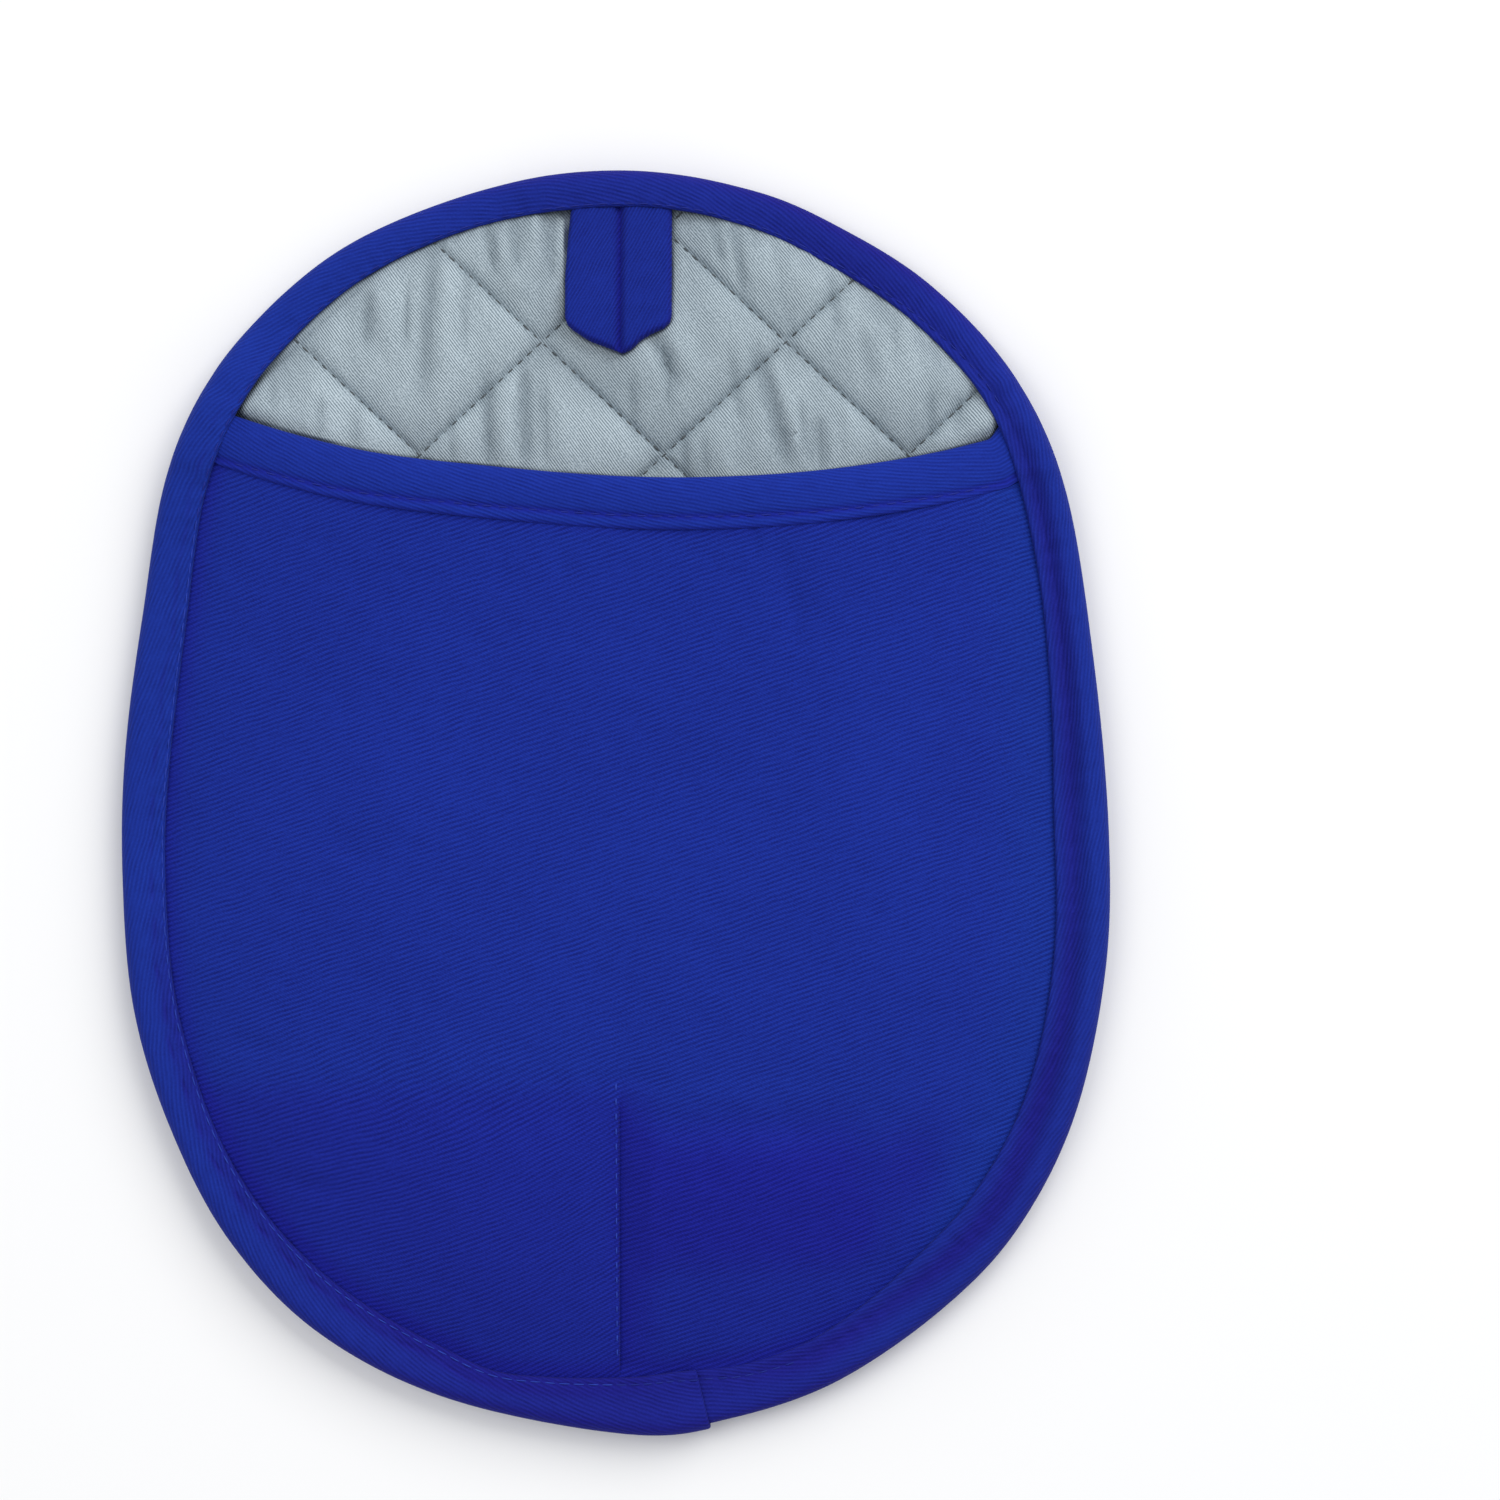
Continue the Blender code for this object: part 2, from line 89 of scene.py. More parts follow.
# Edge binding on the pocket side by direction from the middle, 0 is right and 90 is the top:
# its width, the height of its outer roll, the depth of the valley its seam lies in and how far
# in from the sewn edge that is, the depth of a lengthwise crease beside its stitches, and how
# much shade is painted on it
# direction, width, roll, valley, seam, crease, painted shade
BINDING_FRONT = (
    (0, 9.9, 1.3, 0.7, 3.1, 0.0, 0.1),
    (11, 8.8, 1.3, 0.7, 2.8, 0.0, 0.1),
    (23, 8.0, 1.1, 0.7, 2.6, 0.0, 0.1),
    (35, 8.0, 0.9, 0.6, 2.4, 0.0, 0.15),
    (46, 7.2, 0.7, 0.3, 2.0, 0.0, 0.3),
    (63, 7.3, 0.5, 0.1, 1.0, 0.0, 0.7),
    (84, 6.6, 0.4, 0.0, 0.5, 0.0, 0.55),
    (94, 6.9, 0.4, 0.0, 0.5, 0.0, 0.5),
    (105, 6.3, 0.4, 0.0, 0.5, 0.0, 0.3),
    (117, 6.9, 0.4, 0.0, 0.5, 0.0, 0.1),
    (133, 7.6, 0.4, 0.0, 0.5, 0.1, 0.0),
    (151, 8.0, 0.4, 0.0, 0.4, 0.25, 0.0),
    (170, 8.5, 0.4, 0.0, 0.4, 0.25, 0.05),
    (187, 8.0, 0.4, 0.0, 0.4, 0.25, 0.05),
    (208, 8.0, 0.4, 0.0, 0.4, 0.25, 0.15),
    (219, 7.7, 0.4, 0.0, 0.5, 0.25, 0.2),
    (228, 8.4, 0.4, 0.0, 0.5, 0.25, 0.25),
    (243, 9.3, 0.4, 0.0, 0.8, 0.25, 0.5),
    (252, 8.7, 0.4, 0.0, 0.8, 0.2, 0.75),
    (258, 7.4, 0.5, 0.0, 0.8, 0.1, 0.85),
    (263, 8.4, 0.5, 0.0, 0.9, 0.0, 0.95),
    (270, 10.3, 0.5, 0.1, 1.2, 0.0, 1.0),
    (276, 11.5, 0.5, 0.1, 1.5, 0.0, 1.0),
    (283, 9.8, 0.6, 0.2, 2.0, 0.0, 0.9),
    (290, 9.0, 0.8, 0.4, 2.4, 0.0, 0.8),
    (298, 9.6, 1.0, 0.5, 2.8, 0.0, 0.5),
    (306, 10.5, 1.2, 0.65, 4.2, 0.0, 0.4),
    (314, 10.3, 1.2, 0.7, 4.4, 0.0, 0.45),
    (323, 9.9, 1.2, 0.7, 3.1, 0.0, 0.4),
    (334, 9.6, 1.2, 0.7, 3.1, 0.0, 0.25),
    (346, 9.8, 1.3, 0.7, 2.9, 0.0, 0.1),
)
WIDTH, ROLL, VALLEY, SEAM, CREASE, PAINTED_SHADE = range(1, 7)  # its columns
VALLEY_DEEPEST = 0.7
CREASE_DEEPEST = 0.25
BINDING_BACK = 8.7  # width on the back
BACK_SEAM = 0.8  # stitches there, in from its sewn edge
BACK_RIPPLE = (8.0, 1.6)  # in from the finished edge, half width
BACK_LIP = (0.25, 0.4)  # how far the sewn edge turns up, and over what width
BINDING_SLACK = 0.15  # room under it
BINDING_BEND = 2.4  # how far in the outer fold curves
BINDING_THICK = 0.6
BINDING_LIP = 0.75  # height of its sewn edge over what it is sewn to
BINDING_ROUND = 0.65  # radius of that edge
ROLL_AT = 3.2  # in from the finished edge
ROLL_HALF = 2.1
VALLEY_HALF = 1.8
CREASE_AT = 2.3  # in from the sewn edge
CREASE_HALF = 0.4
SEAM_SINK = 0.12  # how deep the stitches sink in
SEAM_HALF = 0.4
PUCKER_HALF = 2.6  # beside the seam
PUCKER_LEAST = 0.25  # elsewhere
# Painted shade on the edge binding: by direction, in its crease, towards the stitches at the lower
# left, in its valley and at its outer turn
EDGE_PAINTED_SHADE = 0.8
CREASE_PAINTED_SHADE = 0.4
INNER_PAINTED_SHADE = 0.55  # painted shade at the lower left, towards the stitches
INNER_REACH = 4.0
VALLEY_PAINTED_SHADE = 0.75
VALLEY_PAINTED_SHADE_HALF = 1.3 * VALLEY_HALF
SEAM_HIDDEN = 0.35  # a valley this deep hides the stitches
LIGHT_THREAD_TOP = 52.0  # below this, down the left side, the front stitches get the lighter thread as painted highlight
FOLD_PAINTED_SHADE = 0.9
FOLD_PAINTED_SHADE_HALF = 1.6
POCKET_END = (6.0, 14.0)  # level for so long past the pocket's corner, then falling for so long
STRAP_END = (3.0, 10.0)
MOUTH_END = (0.5, 5.0)
TUCK = 1.6  # the layers' cut edges, in from the finished edge
POCKET_PRESS = 0.5  # how far the binding presses the pocket's edge down
POCKET_PRESS_OVER = 1.2
LAP_X = 17.2  # where the binding's folded end lies over its start
LAP_UNDER = 7.0  # how far the start reaches on under the lap
LAP_STEP = 0.9  # what lies under the lap is drawn in so far,
LAP_DROP = 0.8  # lowered so far on the front
LAP_RISE = 0.7  # and raised so far on the back,
LAP_FADE = 26.0  # which fades over this length
LAP_ROUND = 0.6
LAP_THIN = 0.3  # share of the thickness that is pressed out under the lap

# Pocket's mouth edge, from left to right
# x, y
MOUTH = (
    (-80.0, 74.0),
    (-68.0, 69.3),
    (-47.7, 63.4),
    (-21.0, 59.8),
    (14.5, 57.9),
    (37.5, 59.3),
    (57.8, 62.7),
    (80.0, 69.0),
)
MOUTH_CORNER = (67.4, 3.2, 2.6)  # rounded up into the edge binding: from x, over, height
MOUTH_TAPE = 9.0
MOUTH_OVER = 0.72  # height of its binding over the pocket
MOUTH_THICK = 0.6
MOUTH_CUT = 0.9  # the pocket's cut edge, in from the mouth
MOUTH_BEND = 1.3  # how far its fold reaches over that
MOUTH_ROUND = 0.9  # how far its lower edge rounds off
MOUTH_EDGE = 0.12  # height of that edge
MOUTH_CROWN = 0.45
MOUTH_SEAM = (1.0, 2.4)  # stitches, in from the binding's lower edge at its ends and middle
MOUTH_HALF = 70.0
MOUTH_GROOVE = 0.3
MOUTH_GROOVE_HALF = 0.6
MOUTH_CALM = 3.0  # its ripples fade towards the mouth over this length
MOUTH_ENDS = 3.0  # how far its ends reach in under the edge binding
MOUTH_UNDER = 0.7  # how far they raise it
MOUTH_CLEAR = 0.12  # how far they stay below it
MOUTH_DIP = (1.7, 0.2)  # past its sewn edge, where they start to dip and are below it
POCKET_THICK = 0.7
POCKET_RISE = 9.0
POCKET_REACH = 45.0
POCKET_FREE = 6.0  # its folds rise to their full height over this length
MOUTH_LIFT = 1.5
MOUTH_REACH = 30.0
DART_X = 0.7
DART_TOP = -49.5
DART_END = -101.0  # of its stitches
DART_FREE = 2.0  # it starts this far in from the edge binding
DART_FADE = 20.0
DART_SEAM_FADE = 8.0
DART_SHARE = 0.25
DART_HALF = 6.0
DART_STEP = 0.45  # the cloth left of the dart lies over the right
DART_STEP_FADE = 3.0
DART_SCALLOP = 0.12  # how far each stitch draws that step down
DART_CREASE = 0.55
DART_CREASE_HALF = 2.2
DART_PITCH = 2.7  # of its stitches
DART_LEAN = 0.22  # how far the dart turns the weave on its left
DART_LEAN_HALF = 40.0

FOLD_FADE = 0.35  # share of a fold's length in which each of its ends fades
# Soft folds of the pocket, straight from one point to the other; a trough has a height below 0
# x, y, x, y, half width, height
POCKET_FOLDS = (
    (24.9, 53.0, 25.4, 42.0, 0.8, -0.5),  # puckers below the mouth's seam
    (29.0, 51.0, 33.5, 24.0, 1.8, -0.55),
    (36.5, 50.0, 38.5, 30.0, 2.6, 0.3),
    (-20.5, 51.0, -20.0, 36.0, 1.6, -0.25),
    (-10.0, 50.0, -9.2, 34.0, 1.6, -0.25),
    (1.5, 51.0, 1.0, 40.0, 1.4, -0.2),
    (47.5, 53.0, 48.5, 40.0, 1.8, -0.25),
    (-53.7, -3.1, -41.0, -14.0, 2.5, -0.35),  # across the left side
    (-46.0, 4.0, -33.0, -8.0, 3.5, 0.3),
    (-72.0, -42.0, -58.0, -45.0, 1.5, -0.3),
    (-63.0, -68.0, -44.5, -70.5, 1.8, -0.35),
    (-4.5, -49.2, 9.0, -49.2, 0.9, -0.3),  # at the dart's point
    (2.0, -57.0, 47.0, -59.0, 3.5, -0.8),  # below the hand, right of the dart
    (-34.0, -55.5, 0.0, -56.0, 4.5, -0.5),
    (48.8, -55.0, 48.8, -84.0, 2.2, 0.6),
    (55.7, -55.0, 56.5, -74.0, 2.6, -0.5),
    (61.0, -58.4, 73.0, -58.2, 1.6, -0.45),
    (30.0, -84.0, 52.0, -78.0, 4.0, 0.35),
)

# Where shade is painted on the pocket, or light below 0, with soft edges
# x, y, half width, half height, tone
POCKET_PAINTED_SHADE = (
    (-42.0, -90.0, 48.0, 39.0, 0.55),
    (30.0, -95.0, 28.0, 34.0, 0.5),
    (23.0, -69.0, 21.0, 14.0, 0.5),
    (70.0, -78.0, 22.0, 26.0, 0.1),
    (44.0, -76.0, 4.0, 5.0, 0.4),
    (54.0, -64.0, 9.0, 8.0, 0.2),
)
# how soft the edges of the painted shade patches are
PAINTED_SHADE_SOFT = 9.0
POCKET_RIGHT_PAINTED_LIGHT = (0.45, 16.0)  # how much painted light along its right side, and how far in

# The same for the lining
# x, y, half width, half height, tone
LINING_PAINTED_SHADE = (
    (34.0, 84.0, 26.0, 24.0, 0.22),
    (-16.0, 100.0, 4.0, 8.0, 0.4),  # painted shadow beside the strap
    (-1.0, 76.0, 9.0, 4.0, 0.45),  # painted shadow below its end
    (-33.0, 76.0, 3.0, 10.0, -0.3),
)
# Least painted shade on pocket and lining, which is painted light below 0; painted shade in the
# lining's hollows; painted shade in the troughs of its wrinkles and folds, painted light on their
# ridges
PAINTED_SHADE_LEAST = -0.6
HOLLOW_PAINTED_SHADE = 0.5
WRINKLE_PAINTED_SHADING = 0.4
LINING_FOLD_PAINTED_SHADING = 0.45

# Soft lines of painted shade
# depth, half width
PAINTED_SHADE_LINES = {
    "pocket edge": (0.7, 2.6),  # along its left side
    "pocket mouth": (0.3, 1.2),
    "dart": (0.6, 1.8),
    "channel": (0.3, 1.0),
    "lining edge": (1.2, 0.7),  # along its left side
    "lining border": (0.35, 4.0),
    "mouth seam": (0.8, 0.6),
    "mouth edge": (0.5, 0.6),
    "strap groove": (0.5, 0.9),
    "strap slit": (0.5, 0.35),
    "strap end": (0.5, 0.9),
    "strap right": (0.35, 0.8),
}
RIM_RIGHT = 0.25  # how much less painted shadow the gap at the lining's edges gets on its right
RIM_MOUTH = 0.85  # how far past the mouth that gap and its painted shadow lie, because the binding's fold overhangs

# Filled lining: height of its top by distance in from the edge binding, under the pocket and
# strap, and where it is free
# distance, z pressed, z free
LINING_PRESS = (
    (0.5, 4.4, 5.0),
    (2.0, 4.8, 6.4),
    (4.0, 5.3, 7.3),
    (8.0, 6.4, 8.0),
    (18.0, 7.9, 8.4),
    (28.0, 8.4, 8.5),
)
LINING_BOTTOM = 3.4
LINING_EDGE_TOP = 4.4
LINING_CROWN = 8.2
LINING_CORNER = 8.0  # how far in it stays up beside the raised ends of the mouth
MOUTH_PRESS = (-0.5, 3.0)  # how far above the mouth it starts to come free, and is free
STRAP_PRESS = (1.5, 7.5)  # the same beside the strap
LOFT_FULL = 2.0  # with less filling than this, its relief is fainter
WRINKLE_LEAST = 0.35  # share of a wrinkle's height that is left in the channels
QUILT_CROSSING = (8.7, 62.9)
QUILT_HALF = (22.1, 20.5)
QUILT_APART = 2 * QUILT_HALF[0] * QUILT_HALF[1] / math.hypot(*QUILT_HALF)
QUILT_SEAM = 0.36  # the channels' share of the crowns' height over the pressed edge
QUILT_EASE = 3.6  # how far from a channel the filling rises
QUILT_NOTCH = 0.35
QUILT_NOTCH_HALF = 0.55
QUILT_HOLLOW = (3.2, 8.0, 0.9)  # upright hollow at each crossing: half width, half height, depth
QUILT_RANGE = (-7, 4)  # whole lattice lines that cover the holder
QUILT_STEPS = 32
QUILT_GATHER = 0.6  # how much closer its mesh lines lie at the channels
QUILT_HIDDEN = 2  # the line whose stitches lie under the binding at the upper left
QUILT_SEEN = 25.0  # its stitches end this far below the mouth

# Wrinkles of the lining beside its channels
# x, y, x, y, half width, height
LINING_FOLDS = (
    (-44.6, 94.1, -44.9, 80.9, 1.0, -1.4),
    (-41.3, 93.2, -41.0, 78.8, 1.0, 0.7),
    (-32.8, 102.8, -35.0, 69.2, 1.3, -1.5),
    (-29.5, 100.2, -30.9, 73.8, 1.3, 0.9),
    (-23.7, 108.2, -21.4, 93.8, 0.8, -1.5),
    (-18.6, 108.2, -17.5, 93.8, 1.0, -1.2),
    (-12.0, 109.4, -11.1, 92.6, 1.0, -1.4),
    (-23.5, 80.0, -22.5, 56.0, 1.0, -1.5),
    (-19.5, 77.6, -19.4, 58.4, 0.9, 0.7),
    (-16.6, 82.2, -16.2, 55.8, 1.0, -1.5),
    (-53.3, 75.0, -53.0, 63.0, 0.9, -1.0),
    (-47.0, 73.0, -46.6, 61.0, 1.0, -0.7),
    (17.4, 106.9, 19.6, 96.1, 0.7, -1.2),
    (21.0, 108.6, 23.6, 89.4, 1.0, -1.5),
    (26.5, 105.2, 28.1, 90.8, 1.2, 0.7),
    (5.6, 87.2, 12.6, 72.8, 1.0, -1.6),
    (10.6, 84.8, 15.8, 75.2, 1.0, 0.7),
    (24.8, 84.2, 32.4, 57.8, 1.4, -1.5),
    (36.7, 71.1, 37.7, 57.9, 1.0, -1.2),
    (12.1, 69.0, 12.9, 57.0, 0.7, -1.0),
    (44.8, 87.2, 47.2, 72.8, 1.6, -0.7),
    (56.9, 75.9, 57.7, 65.1, 1.0, -0.9),
    (-36.7, 97.6, -38.3, 78.4, 0.7, -0.9),
    (-26.5, 98.7, -27.7, 78.3, 0.8, -0.8),
    (-14.9, 109.2, -14.1, 94.8, 0.7, 0.6),
    (-30.1, 73.2, -29.3, 58.8, 0.7, -0.7),
    (-13.1, 77.6, -12.3, 58.4, 0.7, -0.9),
    (-9.7, 75.4, -8.9, 58.6, 0.7, 0.5),
    (3.2, 79.4, 3.6, 62.6, 0.9, -0.7),
    (8.8, 85.4, 10.3, 68.6, 0.7, -0.9),
    (20.1, 85.6, 23.3, 66.4, 0.8, -0.8),
    (28.1, 81.8, 34.1, 60.2, 0.7, 0.6),
    (33.0, 75.4, 35.6, 58.6, 0.8, -0.8),
    (15.9, 69.0, 16.7, 57.0, 0.7, -0.6),
    (40.9, 73.2, 41.7, 58.8, 0.8, -0.6),
    (38.6, 97.2, 40.6, 82.8, 0.9, -0.7),
    (50.5, 89.2, 51.5, 74.8, 0.9, -0.6),
    (61.8, 74.8, 62.0, 65.2, 0.7, -0.6),
    (-62.0, 78.8, -61.6, 69.2, 0.7, -0.5),
)

# Unevenness of the surfaces, as waves that add up. A share of 0 leaves y out.
# seed, height, size, share of y
WAVES = {
    "pocket": ((11, 0.14, 14.0, 1.0), (12, 0.05, 4.0, 1.0)),
    "lining": ((22, 0.25, 9.0, 0.4), (21, 0.3, 4.0, 0.2), (23, 0.1, 1.8, 0.25)),
    "mouth": ((31, 0.07, 3.2, 0.0), (32, 0.042, 7.0, 0.0)),
    "edge": ((41, 0.1, 2.6, 0.8), (42, 0.07, 6.0, 0.0)),
    "crease wander": ((43, 0.3, 6.0, 0.0),),
    "crease strength": ((44, 0.35, 3.0, 0.0),),
    "edge back": ((45, 0.04, 3.0, 0.0),),
    "strap": ((51, 0.04, 3.5, 1.0),),
    "panel": ((61, 0.05, 5.0, 1.0),),
}
WAVE_COUNT = 8
WAVE_LENGTHS = (1.2, 2.8)  # the range of their lengths, by size

STRAP_X = 0.8
STRAP_LEG = 9.2
STRAP_SLIT = 0.4
STRAP_THICK = 1.2  # of the frame's strap
STRAP_TOP = 110.5
STRAP_ROUND = 0.9
STRAP_GROOVE_X = 0.75
STRAP_GROOVE = 0.25  # of the thickness that is left in the groove
STRAP_GROOVE_HALF = 1.4
STRAP_VISIBLE = 1.7  # its thickness as the rolled cloth shows it
STRAP_HELD = 1.0  # its thickness under the edge binding
STRAP_LEAST = 0.2  # share of the thickness that is left at its edges
STRAP_CROWN = 0.3
STRAP_SEAM = (1.0, 0.12, 0.3)  # along its left side: how far in, depth, half width
STRAP_TONE = 0.25
# Strap's sides, from the top down
# y, left x, right x
STRAP_SIDES = (
    (110.5, -7.9, 10.2),
    (101.9, -8.6, 10.2),
    (95.2, -9.05, 10.2),
    (88.5, -9.05, 10.2),
    (81.0, -9.05, 10.2),
)
# and its folded end
# x, y
STRAP_END_LINE = (
    (-9.05, 87.6),
    (-8.6, 86.2),
    (-7.6, 85.2),
    (-4.5, 83.2),
    (-0.7, 81.8),
    (1.3, 81.0),
    (2.9, 81.7),
    (4.7, 83.4),
    (6.5, 84.5),
    (8.9, 85.6),
    (9.9, 86.6),
    (10.2, 88.0),
)

SILICONE_INSET = 10.7
SILICONE_THICK = 1.8
BEAD_WIDTH = 2.9
BEAD_HEIGHT = 0.85
CELL_TOP = 1.6  # the cells' flat upper side
CELL = 6.57  # honeycomb cell, flat to flat
# Rib's section, from the cell's flat to the rib's middle
# distance from the middle, z
RIB_SECTION = (
    (1.3, 0.95),
    (0.8, 0.95),
    (0.66, 0.9),
    (0.55, 0.5),
    (0.4, 0.24),
    (0.2, 0.13),
    (0.0, 0.11),
)

EDGE_STEP = 0.8  # mesh step along the edge
PANEL_BOTTOM = 2.1
PANEL_TOP = PANEL_BOTTOM + CLOTH
TAPE_BOTTOM = PANEL_BOTTOM - GAP - TAPE
POCKET_EDGE_TOP = LINING_EDGE_TOP + GAP + CLOTH
LIP_GAP = LINING_PRESS[0][0]  # past the binding's sewn edge, where the cloth starts to rise
SETTLING = 8  # rounds that fit a mesh's rows to its curved edges
SHARP = 50  # degrees
UP = math.pi / 2
FLAT = math.radians(85)  # what faces further up or down is a binding's flat side
INNER_EVERY = 3  # a binding's inner side has every third of its outer side's points
THREAD_LIFT = 0.03
CAMERA_AT = (0.0243, 0.0096, 0.7594)  # metres


def smooth_step(value):
    value = np.clip(value, 0.0, 1.0)
    return value * value * (3 - 2 * value)


def hump(distance, half_width):
    return np.exp(-((distance / half_width) ** 2))


def ramp(value, start, end):
    """From 0 at the start smoothly to 1 at the end, which may be the lower of the two."""
    return smooth_step((value - start) / (end - start))


def waves(x, y, seed, size):
    """Soft unevenness, mostly between -1 and 1, with humps about this size."""
    rng = np.random.default_rng(seed)
    total = 0.0
    for _ in range(WAVE_COUNT):
        angle, phase = rng.uniform(0, 2 * math.pi, 2)
        length = size * rng.uniform(*WAVE_LENGTHS)
        along = x * math.cos(angle) + y * math.sin(angle)
        total = total + np.sin(along * 2 * math.pi / length + phase)
    return total / math.sqrt(WAVE_COUNT)


def uneven(surface, x, y=0.0):
    """Height of a surface's waves."""
    rows = WAVES[surface]
    return sum(height * waves(x, share * y, seed, size) for seed, height, size, share in rows)


# Painted shade along a line, by distance from it
def painted_shade_line(name, distance):
    depth, half_width = PAINTED_SHADE_LINES[name]
    return depth * hump(distance, half_width)


def folds_at(folds, x, y):
    """Height of straight soft ridges and troughs, which fade towards their ends."""
    total = np.zeros(np.shape(x))
    for x0, y0, x1, y1, half, height in folds:
        length = math.hypot(x1 - x0, y1 - y0)
        dx, dy = (x1 - x0) / length, (y1 - y0) / length
        along = ((x - x0) * dx + (y - y0) * dy) / length
        across = (y - y0) * dx - (x - x0) * dy
        ends = smooth_step(along / FOLD_FADE) * smooth_step((1 - along) / FOLD_FADE)
        total += height * ends * hump(across, half)
    return total


class Outline:
    """The finished edge as a smooth closed curve. A share of 0 to 1 is a place along it."""

    FIELD_MARGIN = 14.0
    FIELD_STEP = 1.0
    PER_SPAN = 40

    def __init__(self, points):
        rows = np.array(points, float)
        t = np.linspace(0, 1, self.PER_SPAN, endpoint=False)[:, None]
        spans = []
        for i in range(len(rows)):
            a, b, c, d = (rows[(i + k) % len(rows)] for k in (-1, 0, 1, 2))
            spans.append(
                b
                + 0.5 * t * (c - a)
                + t * t * (a - 2.5 * b + 2 * c - 0.5 * d)
                + t**3 * (1.5 * (b - c) + 0.5 * (d - a))
            )
        points = np.vstack(spans)
        points -= (points.max(axis=0) + points.min(axis=0)) / 2
        self.closed = np.vstack([points, points[:1]])
        steps = np.linalg.norm(np.diff(self.closed, axis=0), axis=1)
        self.length = steps.sum()
        self.shares = np.append(0, np.cumsum(steps)) / self.length
        self.field = self.distance_field(points)

    def distance_field(self, points):
        """Distances in from the edge on a square grid, for inside() to read."""
        ahead = np.roll(points, -1, axis=0) - np.roll(points, 1, axis=0)
        ahead /= np.linalg.norm(ahead, axis=1)[:, None]
        low = points.min(axis=0) - self.FIELD_MARGIN
        high = points.max(axis=0) + self.FIELD_MARGIN
        self.field_low = low
        columns, rows = (np.ceil((high - low) / self.FIELD_STEP)).astype(int) + 1
        field = np.empty((rows, columns))
        xs = low[0] + self.FIELD_STEP * np.arange(columns)
        for row in range(rows):
            y = low[1] + self.FIELD_STEP * row
            gap_x = xs[:, None] - points[:, 0]
            gap_y = y - points[:, 1]
            near = np.argmin(gap_x**2 + gap_y**2, axis=1)
            each = np.arange(columns)
            field[row] = gap_y[near] * ahead[near, 0] - gap_x[each, near] * ahead[near, 1]
        return field

    def inside(self, x, y):
        """Distance in from the finished edge, below 0 outside it."""
        column = np.clip((x - self.field_low[0]) / self.FIELD_STEP, 0, self.field.shape[1] - 1.001)
        row = np.clip((y - self.field_low[1]) / self.FIELD_STEP, 0, self.field.shape[0] - 1.001)
        i, j = np.floor(row).astype(int), np.floor(column).astype(int)
        up, right = row - i, column - j
        below = self.field[i, j] * (1 - right) + self.field[i, j + 1] * right
        above = self.field[i + 1, j] * (1 - right) + self.field[i + 1, j + 1] * right
        return below * (1 - up) + above * up

    def at(self, share):
        share = share % 1.0
        return tuple(np.interp(share, self.shares, self.closed[:, k]) for k in (0, 1))

    def place(self, share, inset):
        """x and y of the points inset from the edge, square to it."""
        step = 2.0 / self.length
        ahead, behind = self.at(share + step), self.at(share - step)
        dx, dy = ahead[0] - behind[0], ahead[1] - behind[1]
        size = np.hypot(dx, dy)
        x, y = self.at(share)
        return x - inset * dy / size, y + inset * dx / size

    def pulled_in(self, x, y, inset):
        """The points themselves, but those outside the inset line moved onto it."""
        for _ in range(3):
            short = inset - self.inside(x, y)
            slope_x = self.inside(x + 0.5, y) - self.inside(x - 0.5, y)
            slope_y = self.inside(x, y + 0.5) - self.inside(x, y - 0.5)
            size = np.maximum(np.hypot(slope_x, slope_y), 0.1)
            move = np.maximum(short, 0) / size
            x, y = x + move * slope_x, y + move * slope_y
        return x, y

    def sides(self, y, inset):
        """x of the inset line's left and right side at these heights."""
        xs, ys = self.place(np.linspace(0, 1, 1200, endpoint=False), inset)
        found = []
        for side in (xs < 0, xs >= 0):
            order = np.argsort(ys[side])
            found.append(np.interp(y, ys[side][order], xs[side][order]))
        return found


outline = Outline(EDGE)


def smooth_curve(places, values, at):
    """Values between rows, without kinks."""
    slopes = np.gradient(values, places)
    i = np.clip(np.searchsorted(places, at) - 1, 0, len(places) - 2)
    h = places[i + 1] - places[i]
    t = np.clip((at - places[i]) / h, 0, 1)
    return (
        (1 + 2 * t) * (1 - t) ** 2 * values[i]
        + t * (1 - t) ** 2 * h * slopes[i]
        + t * t * (3 - 2 * t) * values[i + 1]
        + t * t * (t - 1) * h * slopes[i + 1]
    )


def by_direction(column, x, y):
    """A column of BINDING_FRONT at the direction of these points."""
    rows = np.array(BINDING_FRONT, float)
    places = np.concatenate([rows[:, 0] + turn for turn in (-360, 0, 360)])
    return smooth_curve(places, np.tile(rows[:, column], 3), np.degrees(np.arctan2(y, x)) % 360)


def binding_front(x, y):
    return by_direction(WIDTH, x, y)


def past_binding(x, y):
    """Distance in from the edge binding's sewn edge, below 0 under the binding."""
    return outline.inside(x, y) - binding_front(x, y)


def mouth_y(x):
    """Height of the mouth edge on the plan."""
    rows = np.array(MOUTH)
    start, over, height = MOUTH_CORNER
    return smooth_curve(rows[:, 0], rows[:, 1], x) + height * smooth_step((x - start) / over)


def below_mouth(x, distance):
    """The points this far into the pocket, square to the mouth edge."""
    slope = mouth_y(x + 0.5) - mouth_y(x - 0.5)
    scale = distance / np.hypot(1.0, slope)
    return x + scale * slope, mouth_y(x) - scale


def mouth_lift(x, y):
    return MOUTH_LIFT * smooth_step(1 - (mouth_y(x) - y) / MOUTH_REACH)


def dart_share(x, y):
    across = np.maximum(0.0, 1 - np.abs(x - DART_X) / DART_HALF)
    return DART_SHARE * across * smooth_step((DART_TOP - y) / DART_FADE)


def dart_down(y):
    """0 above the dart, 1 where its seam is at its full depth."""
    return ramp(y, DART_TOP, DART_TOP - DART_SEAM_FADE)


